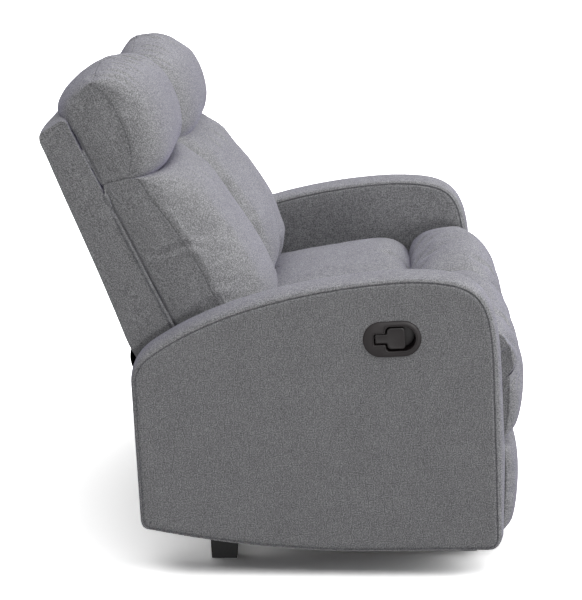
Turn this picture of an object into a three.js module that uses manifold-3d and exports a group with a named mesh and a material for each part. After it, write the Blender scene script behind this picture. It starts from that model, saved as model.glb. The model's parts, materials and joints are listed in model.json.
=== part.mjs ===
// Two-seat reclining sofa: two upholstered arms carry a steel base, and each seat has its own
// reclining back, folding footrest linkage and release handle.
// Millimetres, +Z up, the sofa faces -Y, and the origin is on the floor under its middle.
import * as THREE from 'three';
import { mergeVertices } from 'three/addons/utils/BufferGeometryUtils.js';
import Module from 'manifold-3d';

const wasm = await Module();
wasm.setup();

// Overall sizes
const WIDTH = 1170;
const DEPTH = 961;
const FIT = 0.3; // gap between pieces that touch
const OVERRUN = 20; // how far a cutting tool runs past what it cuts
const RIGHT = -1; // the sitter's right
const LEFT = 1;
const OUTER = 1; // the mechanism beside the arm
const INNER = -1; // the mechanism in the sofa's middle
const FRONT = -DEPTH / 2;

// Arms
const ARM_THICKNESS = 100;
const ARM_LENGTH = 717;
const ARM_HEIGHT = 594;
const ARM_SETBACK = 60.5; // from the footrest's front to the arm's front seam
const ARM_CROWN = 15; // how far the padded band stands out between its two seams, at the most
const ARM_CROWN_POWER = 3;
const ARM_FRONT = FRONT + ARM_SETBACK;
const ARM_INSIDE = WIDTH / 2 - ARM_THICKNESS;

// Seats
const SIDE_GAP = 8; // seat to arm
const MIDDLE_GAP = 6; // seat to seat
const SEAT_WIDTH = (WIDTH - 2 * ARM_THICKNESS - 2 * SIDE_GAP - MIDDLE_GAP) / 2;
const SEAT_CENTRE = (MIDDLE_GAP + SEAT_WIDTH) / 2;
const SEAT_HALF = SEAT_WIDTH / 2;
const DECK_TOP = 336.5;
const DECK_THICKNESS = 26;
const SEAT_PAD_HEIGHT = 115; // at the seam beside the front valley
const SEAT_PAD_LENGTH = 388;
const VALLEY_SETBACK = 212; // from the footrest's front to the valley across the seat
const VALLEY = FRONT + VALLEY_SETBACK;
const SEAT_PAD_REAR = VALLEY + SEAT_PAD_LENGTH;

// Soft pieces
const SEAM_ROUND = 5; // how much a cushion's edge is rounded at its seam
const DRAW_IN = 4; // how far a cushion's side is pulled in between its corners
const SOFT_STEPS = 2; // steps from one named point of a soft outline to the next
const CROWN_POWER = 3; // how quickly a crown rises from the seams
const CROWN_STATION_SHARES = [0, 1 / 3, 2 / 3]; // sections from a cushion's middle to its side

// Backs
const BACK_LEAN = 26.7; // degrees from upright
const BACK_FOOT_RUN = 675.5; // from the footrest's front to the foot of the back's front face
const BACK_FOOT_HEIGHT = 428;
const BACK_RISE = 517; // length of the back frame's front face above its foot
const BACK_TAIL = 60; // the frame below its foot
const BACK_TOP_THICKNESS = 66;
const BACK_FOOT_THICKNESS = 98;
const BACK_TAIL_THICKNESS = 85;
const BACK_PAD_THICKNESS = 184;
const BACK_CORNER = 12;
const BACK_FOOT = FRONT + BACK_FOOT_RUN;
const LINING_THICKNESS = 3;
const LINING_BULGE = 22;
const LINING_INSET = 10;
const LINING_LOW_SHARE = 0.35; // where it bulges most, down from its upper edge
const LINING_STEPS = 6;

// Footrest
const BOARD_THICKNESS = 12;
const BOARD_SETBACK = 80.5; // from the footrest's front to the rear face of its boards
const BOARD_INSET = 20;
const BOARD_CORNER = 10;
const UPPER_BOARD_BOTTOM = 252;
const UPPER_BOARD_TOP = 328;
const LOWER_BOARD_BOTTOM = 62;
const LOWER_BOARD_TOP = 226;
const UPPER_PAD_BOTTOM = 240;
const LOWER_PAD_BOTTOM = 46;
const LOWER_PAD_TOP = 236;
const SPLIT_ANGLE = 45; // slope of the fold between the seat's front roll and the footrest pad
const SPLIT_GAP = 3;
const BOARD_REAR = FRONT + BOARD_SETBACK;
const BOARD_FRONT = BOARD_REAR - BOARD_THICKNESS;

// Steel mechanism: positions along the depth and the height of the closed sofa
const STEEL = 4;
const LINK_GAP = 2.5;
const LINK_WIDTH = 24;
const PIN_RADIUS = 5;
const PIN_PLAY = 0.6;
const HEAD_RADIUS = 8.5;
const HEAD_THICKNESS = 1.7;
const PIVOT_STEPS = 12;
const LINK_LENGTH = 218;
const PLATE_INSET = 34; // from the seat's side to the inside of its mounting plate
const PLATE_OFFSET = SEAT_HALF - PLATE_INSET; // the same face, from the seat's centre
const FOOTREST_PIVOT_SETBACK = 265.5; // setbacks are from the footrest's front
const FOOTREST_PIVOT = { y: FRONT + FOOTREST_PIVOT_SETBACK, z: 270 };
const BOARD_PIVOT_DEPTH = 15; // from the boards' rear face
const BOARD_PIVOT = { y: BOARD_REAR + BOARD_PIVOT_DEPTH, z: 276 };
const BOARD_HINGE_DEPTH = 14;
const BOARD_HINGE = { y: BOARD_REAR + BOARD_HINGE_DEPTH, z: 240 };
const BACK_PIVOT_SETBACK = 680.5;
const BACK_PIVOT = { y: FRONT + BACK_PIVOT_SETBACK, z: 300 };
const GLIDE_FRONT_SETBACK = 330.5;
const GLIDE_REAR_SETBACK = 560.5;
const GLIDE_FRONT = FRONT + GLIDE_FRONT_SETBACK;
const GLIDE_REAR = FRONT + GLIDE_REAR_SETBACK;
const GLIDE_HEIGHT = 110;
const GLIDE_RADIUS = 6;
const GLIDE_LOBE = 24;
const SEAT_TRAVEL = 60;

// Base
const FOOT_HEIGHT = 55;
const FOOT_LENGTH = 57;
const FOOT_WIDTH = 34;
const FOOT_TAPER = 3;
const FRONT_FOOT_INSET = 55; // from the arm's inside to the front corner foot
const REAR_FOOT_SETBACK = 603;
const FRONT_FOOT_SETBACK = 160;
const REAR_FOOT = FRONT + REAR_FOOT_SETBACK;
const FRONT_FOOT = FRONT + FRONT_FOOT_SETBACK;
const CHANNEL_FRONT_SETBACK = 95.5;
const CHANNEL_REAR_SETBACK = 650.5;
const CHANNEL_FRONT = FRONT + CHANNEL_FRONT_SETBACK;
const CHANNEL_REAR = FRONT + CHANNEL_REAR_SETBACK;
const CHANNEL_HEIGHT = 75;
const CHANNEL_LEG = 62;
const CHANNEL_GAP = 2; // mounting plate to the channel's web
const CHANNEL_OFFSET = PLATE_OFFSET + STEEL + CHANNEL_GAP;
const TUBE = 25;
const TUBE_WALL = 2;
const FRONT_TUBE_INSET = 25;
const REAR_TUBE_LIFT = 45;

// Release handle, in its own frame: length along the arm, height, depth into the arm
const HANDLE_FROM_FRONT = 214;
const HANDLE_HEIGHT = 481;
const HANDLE_TILT = 3; // degrees, front end up
const BEZEL_LENGTH = 112;
const BEZEL_HEIGHT = 70;
const BEZEL_PROUD = 3;
const BEZEL_RIM = 11;
const CUP_WALL = 2.5;
const CUP_DEPTH = 32;
const WELL_REAR = 12.5; // rear end of the cup's wide part
const WELL_CORNER = 9;
const SLOT_REAR = 35; // rear end of the narrow slot that holds the lever's stem
const SLOT_GAP = 1.5;
const PADDLE_LENGTH = 34.5;
const PADDLE_HEIGHT = 42;
const PADDLE_CORNER = 8;
const PADDLE_THICKNESS = 8;
const STEM_HEIGHT = 18;
const STEM_END = 2; // how far the stem runs past the hinge
const LEVER_SETBACK = 1; // from the arm's face to the paddle's face
const BARREL_RADIUS = 4;
const BARREL_DEPTH = 7;
const BARREL_PLAY = 0.5;
const TRUNNION_RADIUS = 2;

// Materials
function finish(color, roughness, metalness) {
  return new THREE.MeshStandardMaterial({ color, roughness, metalness });
}
const FABRIC = finish(0x85868c, 0.95, 0);
const PLASTIC = finish(0x1d1b1c, 0.42, 0);
const RUBBER = finish(0x151515, 0.8, 0);
const STEELWORK = finish(0x2a2b2d, 0.45, 0.7);
const BOARD = finish(0xb18c5e, 0.8, 0);
const LINING = finish(0x18181a, 0.9, 0);

const sofa = new THREE.Group();

function place(name, geometry, material, parent = sofa) {
  const mesh = new THREE.Mesh(geometry, material);
  mesh.name = name;
  parent.add(mesh);
  return mesh;
}

// Joining and cutting
function merged(geometry) {
  const bare = geometry.clone();
  bare.deleteAttribute('normal');
  bare.deleteAttribute('uv');
  return mergeVertices(bare);
}

function solid(geometry) {
  const bare = merged(geometry);
  return new wasm.Manifold(new wasm.Mesh({
    numProp: 3,
    vertProperties: new Float32Array(bare.attributes.position.array),
    triVerts: new Uint32Array(bare.index.array),
  }));
}

function surface(body) {
  const mesh = body.getMesh();
  const geometry = new THREE.BufferGeometry();
  geometry.setAttribute('position', new THREE.BufferAttribute(new Float32Array(mesh.vertProperties), 3));
  geometry.setIndex([...mesh.triVerts]);
  geometry.computeVertexNormals();
  return geometry;
}

function cut(geometry, tools) {
  return surface(tools.reduce((body, tool) => body.subtract(solid(tool)), solid(geometry)));
}

function join(geometries) {
  return surface(geometries.slice(1).reduce((body, next) => body.add(solid(next)), solid(geometries[0])));
}

// Simple solids
function block(x, y, z) {
  const geometry = new THREE.BoxGeometry(x[1] - x[0], y[1] - y[0], z[1] - z[0]);
  return geometry.translate((x[0] + x[1]) / 2, (y[0] + y[1]) / 2, (z[0] + z[1]) / 2);
}

const X_AXIS = new THREE.Vector3(1, 0, 0);
const Y_AXIS = new THREE.Vector3(0, 1, 0);
const Z_AXIS = new THREE.Vector3(0, 0, 1);

// Where an arc meets a line their shared point comes twice, and only one is kept
const SAME_POINT = 0.01;
const ARC_STEPS = 4;

function singlePoints(points) {
  return points.filter((point, i) => (
    point.distanceTo(points[(i + points.length - 1) % points.length]) > SAME_POINT
  ));
}

function extrude(shape, depth) {
  const outline = shape.extractPoints(ARC_STEPS);
  const clean = new THREE.Shape(singlePoints(outline.shape));
  clean.holes = outline.holes.map((hole) => new THREE.Path(singlePoints(hole)));
  return new THREE.ExtrudeGeometry(clean, { depth, bevelEnabled: false });
}

// A side outline, drawn in depth and height, run across the sofa between two places
function across(shape, x) {
  const turned = new THREE.Matrix4().makeBasis(Y_AXIS, Z_AXIS, X_AXIS);
  return extrude(shape, x[1] - x[0]).applyMatrix4(turned).translate(x[0], 0, 0);
}

// A front outline, drawn in width and height, run from front to rear
function rearwards(shape, y) {
  return extrude(shape, y[1] - y[0]).rotateX(Math.PI / 2).translate(0, y[1], 0);
}

function rodAcross(centre, radius, x) {
  const geometry = new THREE.CylinderGeometry(radius, radius, x[1] - x[0], PIVOT_STEPS);
  return geometry.rotateZ(Math.PI / 2).translate((x[0] + x[1]) / 2, centre.y, centre.z);
}

// Two distances from the seat's centre, outwards or inwards, as places across the sofa
function reach(side, hand, near, far) {
  const ends = [side * (SEAT_CENTRE + hand * near), side * (SEAT_CENTRE + hand * far)];
  return ends.sort((a, b) => a - b);
}

function seatSpan(side, half) {
  return [side * SEAT_CENTRE - half, side * SEAT_CENTRE + half];
}

function radians(degrees) {
  return THREE.MathUtils.degToRad(degrees);
}

// Outlines
function loopPoints(parts) {
  const points = [];
  for (const { curve, steps, weights = [0, 0] } of parts) {
    for (let i = 0; i < steps; i += 1) {
      const share = i / steps;
      const point = curve.getPoint(share);
      points.push({ y: point.x, z: point.y, weight: THREE.MathUtils.lerp(...weights, share) });
    }
  }
  return points;
}

function loopNormals(points) {
  const count = points.length;
  let area = 0;
  points.forEach((point, i) => {
    const next = points[(i + 1) % count];
    area += point.y * next.z - next.y * point.z;
  });
  const turn = Math.sign(area);
  return points.map((point, i) => {
    const before = points[(i + count - 1) % count];
    const after = points[(i + 1) % count];
    const y = (after.z - before.z) * turn;
    const z = (before.y - after.y) * turn;
    const length = Math.hypot(y, z);
    return { y: y / length, z: z / length };
  });
}

function offsetLoop(points, distance) {
  const normals = loopNormals(points);
  return points.map((point, i) => ({
    ...point,
    y: point.y + normals[i].y * distance(point),
    z: point.z + normals[i].z * distance(point),
  }));
}

// A closed body through side outlines that lie one beside the next across the sofa
function loft(rings) {
  const count = rings[0].length;
  const positions = rings.flat().flatMap((point) => [point.x, point.y, point.z]);
  const index = [];
  const first = rings[0].map((point) => new THREE.Vector2(point.y, point.z));
  const clockwise = THREE.ShapeUtils.isClockWise(first);
  const addFace = (a, b, c, flip) => index.push(...(flip ? [a, c, b] : [a, b, c]));
  for (let ring = 0; ring + 1 < rings.length; ring += 1) {
    for (let i = 0; i < count; i += 1) {
      const a = ring * count + i;
      const b = ring * count + ((i + 1) % count);
      addFace(a, b, b + count, clockwise);
      addFace(a, b + count, a + count, clockwise);
    }
  }
  for (const ring of [0, rings.length - 1]) {
    const outline = rings[ring].map((point) => new THREE.Vector2(point.y, point.z));
    for (const corners of THREE.ShapeUtils.triangulateShape(outline, [])) {
      const turned = THREE.ShapeUtils.isClockWise(corners.map((corner) => outline[corner]));
      const [a, b, c] = corners.map((corner) => ring * count + corner);
      addFace(a, b, c, turned !== (ring === 0));
    }
  }
  const geometry = new THREE.BufferGeometry();
  geometry.setAttribute('position', new THREE.Float32BufferAttribute(positions, 3));
  geometry.setIndex(index);
  return geometry;
}

// A cushion across one seat. Each row of shares holds a point of the side seam and the point
// that it rises to in the cushion's middle.
function cushion(rows, toPlace, side, along, half = SEAT_HALF) {
  const curves = [0, 2].map((first) => new THREE.CatmullRomCurve3(rows.map((row) => {
    const [y, z] = toPlace(row[first], row[first + 1]);
    return new THREE.Vector3(0, y, z);
  }), true, 'centripetal'));
  const count = rows.length * SOFT_STEPS;
  const loops = curves.map((curve) => Array.from({ length: count }, (_, i) => curve.getPoint(i / count)));
  const reaches = loops[0].map((point) => point[along]);
  const low = Math.min(...reaches);
  const high = Math.max(...reaches);
  const edge = 1 - SEAM_ROUND / half;
  const right = [...CROWN_STATION_SHARES, edge, 1];
  const stations = [...right.slice(1).map((station) => -station).reverse(), ...right];
  const rings = stations.map((station) => {
    const crown = 1 - Math.abs(station) ** CROWN_POWER;
    const ring = loops[0].map((seam, i) => {
      const middle = loops[1][i];
      const share = ((seam[along] - low) / (high - low)) * 2 - 1;
      const drawn = DRAW_IN * (1 - share * share) * station;
      return {
        x: side * SEAT_CENTRE + half * station - drawn,
        y: THREE.MathUtils.lerp(seam.y, middle.y, crown),
        z: THREE.MathUtils.lerp(seam.z, middle.z, crown),
      };
    });
    return Math.abs(station) === 1 ? offsetLoop(ring, () => -SEAM_ROUND) : ring;
  });
  return loft(rings);
}

function roundedBar(from, to, radius, shape = new THREE.Shape()) {
  const angle = Math.atan2(to.z - from.z, to.y - from.y);
  shape.absarc(to.y, to.z, radius, angle - Math.PI / 2, angle + Math.PI / 2, false);
  shape.absarc(from.y, from.z, radius, angle + Math.PI / 2, angle + Math.PI * 1.5, false);
  shape.closePath();
  return shape;
}

function stadium(length, height) {
  const half = (length - height) / 2;
  return roundedBar({ y: -half, z: 0 }, { y: half, z: 0 }, height / 2);
}

function roundedRectangle(left, right, bottom, top, radius) {
  const shape = new THREE.Shape();
  shape.absarc(right - radius, bottom + radius, radius, -Math.PI / 2, 0, false);
  shape.absarc(right - radius, top - radius, radius, 0, Math.PI / 2, false);
  shape.absarc(left + radius, top - radius, radius, Math.PI / 2, Math.PI, false);
  shape.absarc(left + radius, bottom + radius, radius, Math.PI, Math.PI * 1.5, false);
  shape.closePath();
  return shape;
}

// Holes start a little off level, so that none of their corners lines up with an outline's corner
const HOLE_TURN = 0.17;

function pivotHole(shape, centre) {
  const hole = new THREE.Path();
  hole.absarc(centre.y, centre.z, PIN_RADIUS + PIN_PLAY, HOLE_TURN, HOLE_TURN + Math.PI * 2, true);
  shape.holes.push(hole);
}

// Handle frame: drawn about its own centre, then tilted and set into the arm's side
function ontoArm(geometry) {
  return geometry.rotateX(-radians(HANDLE_TILT)).translate(0, ARM_FRONT + HANDLE_FROM_FRONT, HANDLE_HEIGHT);
}

// Depths into the arm's outer face, as places across the sofa
function intoArm(side, deep, shallow) {
  return [side * (WIDTH / 2 - deep), side * (WIDTH / 2 - shallow)].sort((a, b) => a - b);
}

const CUP_FRONT = BEZEL_LENGTH / 2 - BEZEL_RIM;
const CUP_HALF = BEZEL_HEIGHT / 2 - BEZEL_RIM;
const SLOT_HALF = STEM_HEIGHT / 2 + SLOT_GAP;
const LEVER_HINGE = SLOT_REAR - BARREL_RADIUS - BARREL_PLAY;

// The cup's outline, grown by a margin: a wide part with a round front end, and a slot behind it
function keyhole(margin) {
  const half = CUP_HALF + margin;
  const slot = SLOT_HALF + margin;
  const rear = WELL_REAR + margin;
  const shape = new THREE.Shape();
  shape.absarc(-CUP_FRONT + CUP_HALF, 0, half, Math.PI / 2, Math.PI * 1.5, false);
  shape.absarc(rear - WELL_CORNER, WELL_CORNER - half, WELL_CORNER, -Math.PI / 2, 0, false);
  shape.lineTo(rear, -slot).lineTo(SLOT_REAR + margin, -slot).lineTo(SLOT_REAR + margin, slot);
  shape.lineTo(rear, slot);
  shape.absarc(rear - WELL_CORNER, half - WELL_CORNER, WELL_CORNER, 0, Math.PI / 2, false);
  shape.closePath();
  return shape;
}

function armPoint(along, up) {
  return new THREE.Vector2(ARM_FRONT + along * ARM_LENGTH, up * ARM_HEIGHT);
}

function armCurve(shares, steps, weights) {
  const points = shares.map((share) => armPoint(...share));
  const kind = points.length === 4 ? THREE.CubicBezierCurve : THREE.QuadraticBezierCurve;
  const curve = points.length === 2 ? new THREE.LineCurve(...points) : new kind(...points);
  return { curve, steps, weights };
}

// Side outline of an arm at its seams, in shares of its length and height. Each stretch has its
// curve's points, its number of steps, and the share of the crown at its start and end.
const ARM_SHARES = [
  [[[0.001, 0.138], [0.01, 0.407]], 2, [0.6, 1]],
  [[[0.01, 0.407], [0.035, 0.911], [-0.003, 1], [0.251, 1]], 12, [1, 0.4]],
  [[[0.251, 1], [0.271, 1], [0.69, 0.976], [0.944, 0.751]], 9, [0.4, 0.65]],
  [[[0.944, 0.751], [0.967, 0.731], [0.99, 0.704], [0.992, 0.653]], 3, [0.65, 0.35]],
  [[[0.992, 0.653], [0.974, 0.189]], 2, [0.35, 0.25]],
  [[[0.974, 0.189], [0.972, 0.158], [0.948, 0.157]], 2, [0.25, 0]],
  [[[0.948, 0.157], [0.753, 0.111], [0.558, 0.088], [0.377, 0.088]], 5, [0, 0]],
  [[[0.377, 0.088], [0.031, 0.096]], 1, [0, 0]],
  [[[0.031, 0.096], [0.003, 0.098], [0.001, 0.138]], 3, [0, 0.6]],
];
const ARM_STATION_SHARES = [-1, -0.86, -0.5, 0, 0.5, 0.86, 1]; // from one seam of the band to the other

function arm(side) {
  const outline = loopPoints(ARM_SHARES.map((stretch) => armCurve(...stretch)));
  const middle = side * (WIDTH - ARM_THICKNESS) / 2;
  const rings = ARM_STATION_SHARES.map((station) => {
    const crown = ARM_CROWN * (1 - Math.abs(station) ** ARM_CROWN_POWER);
    return offsetLoop(outline, (point) => crown * point.weight)
      .map((point) => ({ ...point, x: middle + (station * ARM_THICKNESS) / 2 }));
  });
  const pocket = across(keyhole(CUP_WALL + FIT), intoArm(side, CUP_DEPTH + FIT, -OVERRUN));
  return cut(loft(rings), [ontoArm(pocket)]);
}

function hingeRod(side, radius, length) {
  return new THREE.CylinderGeometry(radius, radius, length, PIVOT_STEPS).rotateX(Math.PI / 2)
    .translate(side * (WIDTH / 2 - BARREL_DEPTH), LEVER_HINGE, 0);
}

// The moulded cup that the release lever sits in. The slot's two walls hold the lever's trunnions.
function bezel(side) {
  const rim = stadium(BEZEL_LENGTH, BEZEL_HEIGHT);
  rim.holes.push(keyhole(0));
  const plate = across(rim, intoArm(side, -FIT, -FIT - BEZEL_PROUD));
  const walls = across(keyhole(CUP_WALL), intoArm(side, CUP_DEPTH, -FIT - BEZEL_PROUD / 2));
  const hollow = across(keyhole(0), intoArm(side, CUP_DEPTH - CUP_WALL, -OVERRUN));
  const bores = hingeRod(side, TRUNNION_RADIUS + FIT, 2 * (SLOT_HALF + CUP_WALL) + OVERRUN);
  return ontoArm(join([plate, cut(walls, [hollow, bores])]));
}

// The lever: a paddle for the fingers, a stem, and a hinge barrel with its trunnions
function lever(side) {
  const paddleRear = WELL_REAR - 2 * SLOT_GAP;
  const face = LEVER_SETBACK;
  const paddle = roundedRectangle(
    paddleRear - PADDLE_LENGTH, paddleRear, -PADDLE_HEIGHT / 2, PADDLE_HEIGHT / 2, PADDLE_CORNER,
  );
  const stem = block(
    intoArm(side, BARREL_DEPTH + TRUNNION_RADIUS, face + LEVER_SETBACK),
    [paddleRear - PADDLE_CORNER, LEVER_HINGE + STEM_END],
    [-STEM_HEIGHT / 2, STEM_HEIGHT / 2],
  );
  return ontoArm(join([
    across(paddle, intoArm(side, face + PADDLE_THICKNESS, face)),
    stem,
    hingeRod(side, BARREL_RADIUS, STEM_HEIGHT),
    hingeRod(side, TRUNNION_RADIUS, 2 * (SLOT_HALF + CUP_WALL)),
  ]));
}

// A rivet: its shank starts on one plate and its head closes beyond the last one
function rivet(side, hand, centre, from, to) {
  return [
    rodAcross(centre, PIN_RADIUS, reach(side, hand, from, to)),
    rodAcross(centre, HEAD_RADIUS, reach(side, hand, to, to + Math.sign(to - from) * HEAD_THICKNESS)),
  ];
}

// The link layers, from the mounting plate towards the seat's centre
const LAYERS = [0, 1, 2, 3, 4].map((step) => PLATE_OFFSET - step * (STEEL + LINK_GAP));
const HEAD_CLEARANCE = (LINK_GAP - HEAD_THICKNESS) / 2;

// Where two equal links meet when the footrest is folded: the knee hangs below their two ends
function knee() {
  const y = BOARD_PIVOT.y - FOOTREST_PIVOT.y;
  const z = BOARD_PIVOT.z - FOOTREST_PIVOT.z;
  const span = Math.hypot(y, z);
  const drop = Math.sqrt(LINK_LENGTH ** 2 - (span / 2) ** 2);
  return {
    y: (BOARD_PIVOT.y + FOOTREST_PIVOT.y) / 2 - (z / span) * drop,
    z: (BOARD_PIVOT.z + FOOTREST_PIVOT.z) / 2 + (y / span) * drop,
  };
}

function link(side, hand, from, to, layer, pin, through) {
  const shape = roundedBar(from, to, LINK_WIDTH / 2);
  pivotHole(shape, pin === from ? to : from);
  const plate = across(shape, reach(side, hand, layer, layer + STEEL));
  return join([plate, ...rivet(side, hand, pin, layer + STEEL / 2, through)]);
}

function linkA(side, hand) {
  const through = PLATE_OFFSET + STEEL + HEAD_CLEARANCE;
  return link(side, hand, FOOTREST_PIVOT, knee(), LAYERS[1], FOOTREST_PIVOT, through);
}

function linkB(side, hand) {
  const pin = knee();
  return link(side, hand, BOARD_PIVOT, pin, LAYERS[2], pin, LAYERS[1] + STEEL + HEAD_CLEARANCE);
}

// The steel arm behind the upper board, with its rivet to the linkage and its hinge hole
function boardBracket(side, hand) {
  const seat = BOARD_REAR + FIT;
  const half = LINK_WIDTH / 2;
  const shape = new THREE.Shape();
  shape.moveTo(seat, UPPER_BOARD_TOP - half);
  shape.lineTo(seat, BOARD_HINGE.z);
  shape.absarc(BOARD_HINGE.y, BOARD_HINGE.z, half, Math.PI, Math.PI * 2, false);
  shape.lineTo(BOARD_PIVOT.y + half, BOARD_PIVOT.z);
  shape.absarc(BOARD_PIVOT.y, BOARD_PIVOT.z, half, 0, Math.PI / 2, false);
  shape.closePath();
  pivotHole(shape, BOARD_HINGE);
  const plate = across(shape, reach(side, hand, LAYERS[3], LAYERS[3] + STEEL));
  const through = LAYERS[2] + STEEL + HEAD_CLEARANCE;
  return join([plate, ...rivet(side, hand, BOARD_PIVOT, LAYERS[3] + STEEL / 2, through)]);
}

function board(side, bottom, top) {
  const half = SEAT_HALF - BOARD_INSET;
  const [left, right] = seatSpan(side, half);
  const shape = roundedRectangle(left, right, bottom, top, BOARD_CORNER);
  return rearwards(shape, [BOARD_FRONT, BOARD_REAR]);
}

// The lower board has two ears that hang it on the upper board's brackets
function lowerBoard(side) {
  const half = LINK_WIDTH / 2;
  const ears = [OUTER, INNER].flatMap((hand) => {
    const shape = new THREE.Shape();
    shape.moveTo(BOARD_REAR - BOARD_THICKNESS / 2, LOWER_BOARD_TOP - 2 * half);
    shape.lineTo(BOARD_HINGE.y + half, BOARD_HINGE.z);
    shape.absarc(BOARD_HINGE.y, BOARD_HINGE.z, half, 0, Math.PI, false);
    shape.lineTo(BOARD_REAR + FIT, LOWER_BOARD_TOP - BOARD_CORNER);
    shape.lineTo(BOARD_REAR - BOARD_THICKNESS / 2, LOWER_BOARD_TOP - BOARD_CORNER);
    shape.closePath();
    const through = LAYERS[3] + STEEL + HEAD_CLEARANCE;
    return [
      across(shape, reach(side, hand, LAYERS[4], LAYERS[4] + STEEL)),
      ...rivet(side, hand, BOARD_HINGE, LAYERS[4] + STEEL / 2, through),
    ];
  });
  return join([board(side, LOWER_BOARD_BOTTOM, LOWER_BOARD_TOP), ...ears]);
}

// The plate that carries the seat on the base: two lobes reach down to the glide pins
function seatPlate(side, hand) {
  const top = DECK_TOP - DECK_THICKNESS - FIT;
  const waist = FOOTREST_PIVOT.z - 2 * GLIDE_LOBE / 3;
  const half = LINK_WIDTH / 2;
  const rear = BACK_PIVOT.y + half;
  const nose = FOOTREST_PIVOT.y - SEAT_TRAVEL * 2;
  const shape = new THREE.Shape();
  shape.moveTo(rear, BACK_PIVOT.z);
  shape.absarc(BACK_PIVOT.y, BACK_PIVOT.z, half, 0, Math.PI / 2, false);
  shape.lineTo(BACK_PIVOT.y - 2 * half, top);
  shape.lineTo(nose, top);
  shape.lineTo(nose, top - half);
  shape.lineTo(FOOTREST_PIVOT.y - half, waist);
  for (const glide of [GLIDE_FRONT, GLIDE_REAR]) {
    shape.lineTo(glide - 2 * GLIDE_LOBE, waist);
    shape.absarc(glide, GLIDE_HEIGHT, GLIDE_LOBE, Math.PI, Math.PI * 2, false);
    shape.lineTo(glide + 2 * GLIDE_LOBE, waist);
  }
  shape.closePath();
  [FOOTREST_PIVOT, BACK_PIVOT].forEach((centre) => pivotHole(shape, centre));
  const plate = across(shape, reach(side, hand, PLATE_OFFSET, PLATE_OFFSET + STEEL));
  const pins = [GLIDE_FRONT, GLIDE_REAR].flatMap((y) => {
    const centre = { y, z: GLIDE_HEIGHT };
    const out = CHANNEL_OFFSET + STEEL + HEAD_CLEARANCE;
    return [
      rodAcross(centre, GLIDE_RADIUS, reach(side, hand, PLATE_OFFSET + STEEL / 2, out)),
      rodAcross(centre, GLIDE_RADIUS + LINK_GAP, reach(side, hand, out, out + HEAD_THICKNESS)),
    ];
  });
  return join([plate, ...pins]);
}

// A base channel: a slotted web for the seat's glides, a floor, and a leg bolted to its neighbour
function baseChannel(side, hand) {
  const far = hand === OUTER ? ARM_INSIDE - SEAT_CENTRE - FIT : SEAT_CENTRE - FIT;
  const floor = FOOT_HEIGHT + STEEL;
  const y = [CHANNEL_FRONT, CHANNEL_REAR];
  const web = block(
    reach(side, hand, CHANNEL_OFFSET, CHANNEL_OFFSET + STEEL), y, [FOOT_HEIGHT, FOOT_HEIGHT + CHANNEL_HEIGHT],
  );
  const base = block(reach(side, hand, CHANNEL_OFFSET, far), y, [FOOT_HEIGHT, floor]);
  const leg = block(reach(side, hand, far - STEEL, far), y, [FOOT_HEIGHT, FOOT_HEIGHT + CHANNEL_LEG]);
  const slots = [GLIDE_FRONT, GLIDE_REAR].map((glide) => {
    const radius = GLIDE_RADIUS + PIN_PLAY;
    const ends = [{ y: glide - SEAT_TRAVEL, z: GLIDE_HEIGHT }, { y: glide, z: GLIDE_HEIGHT }];
    const slot = roundedBar(...ends, radius);
    const past = reach(side, hand, CHANNEL_OFFSET - STEEL, CHANNEL_OFFSET + 2 * STEEL);
    return across(slot, past);
  });
  return cut(join([web, base, leg]), slots);
}

function squareTube(half, y, z) {
  const ring = new THREE.Shape();
  ring.moveTo(y, z).lineTo(y + TUBE, z).lineTo(y + TUBE, z + TUBE).lineTo(y, z + TUBE).closePath();
  const bore = new THREE.Path();
  bore.moveTo(y + TUBE_WALL, z + TUBE_WALL).lineTo(y + TUBE_WALL, z + TUBE - TUBE_WALL);
  bore.lineTo(y + TUBE - TUBE_WALL, z + TUBE - TUBE_WALL).lineTo(y + TUBE - TUBE_WALL, z + TUBE_WALL);
  bore.closePath();
  ring.holes.push(bore);
  return across(ring, [-half, half]);
}

// A moulded foot, drawn in a little towards the floor
function foot(x, y, height = FOOT_HEIGHT) {
  const geometry = block(x, y, [0, height]);
  const middle = [(x[0] + x[1]) / 2, (y[0] + y[1]) / 2];
  const places = geometry.attributes.position;
  for (let i = 0; i < places.count; i += 1) {
    const out = [places.getX(i) - middle[0], places.getY(i) - middle[1]];
    if (places.getZ(i) < height / 2) {
      places.setXY(i, places.getX(i) - Math.sign(out[0]) * FOOT_TAPER,
        places.getY(i) - Math.sign(out[1]) * FOOT_TAPER);
    }
  }
  return geometry;
}

function footSpan(side, inset, width) {
  return [side * (ARM_INSIDE - inset), side * (ARM_INSIDE - inset - width)].sort((a, b) => a - b);
}

function lengthwise(y) {
  return [y - FOOT_LENGTH / 2, y + FOOT_LENGTH / 2];
}

// Seat deck: a timber frame with wave springs run from front to rear
const DECK_GAP = 8; // deck to the footrest board in front of it
const DECK_FRONT = BOARD_REAR + DECK_GAP;
const DECK_REAR = SEAT_PAD_REAR - DECK_GAP;
const DECK_INSET = 7;
const RAIL_FRONT = 47;
const RAIL_REAR = 35;
const RAIL_SIDE = 33;
const SPRINGS = 4;
const SPRING_WAVES = 6;
const SPRING_WIRE = 4;
const SPRING_HALF = 20;

function springPath(centre, from, to) {
  const points = [];
  const pitch = (to - from) / (2 * SPRING_WAVES);
  for (let i = 0; i <= 2 * SPRING_WAVES; i += 1) {
    const out = i % 2 ? SPRING_HALF : -SPRING_HALF;
    points.push([centre + out, from + i * pitch]);
    if (i < 2 * SPRING_WAVES) points.push([centre - out, from + i * pitch]);
  }
  return points;
}

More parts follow.
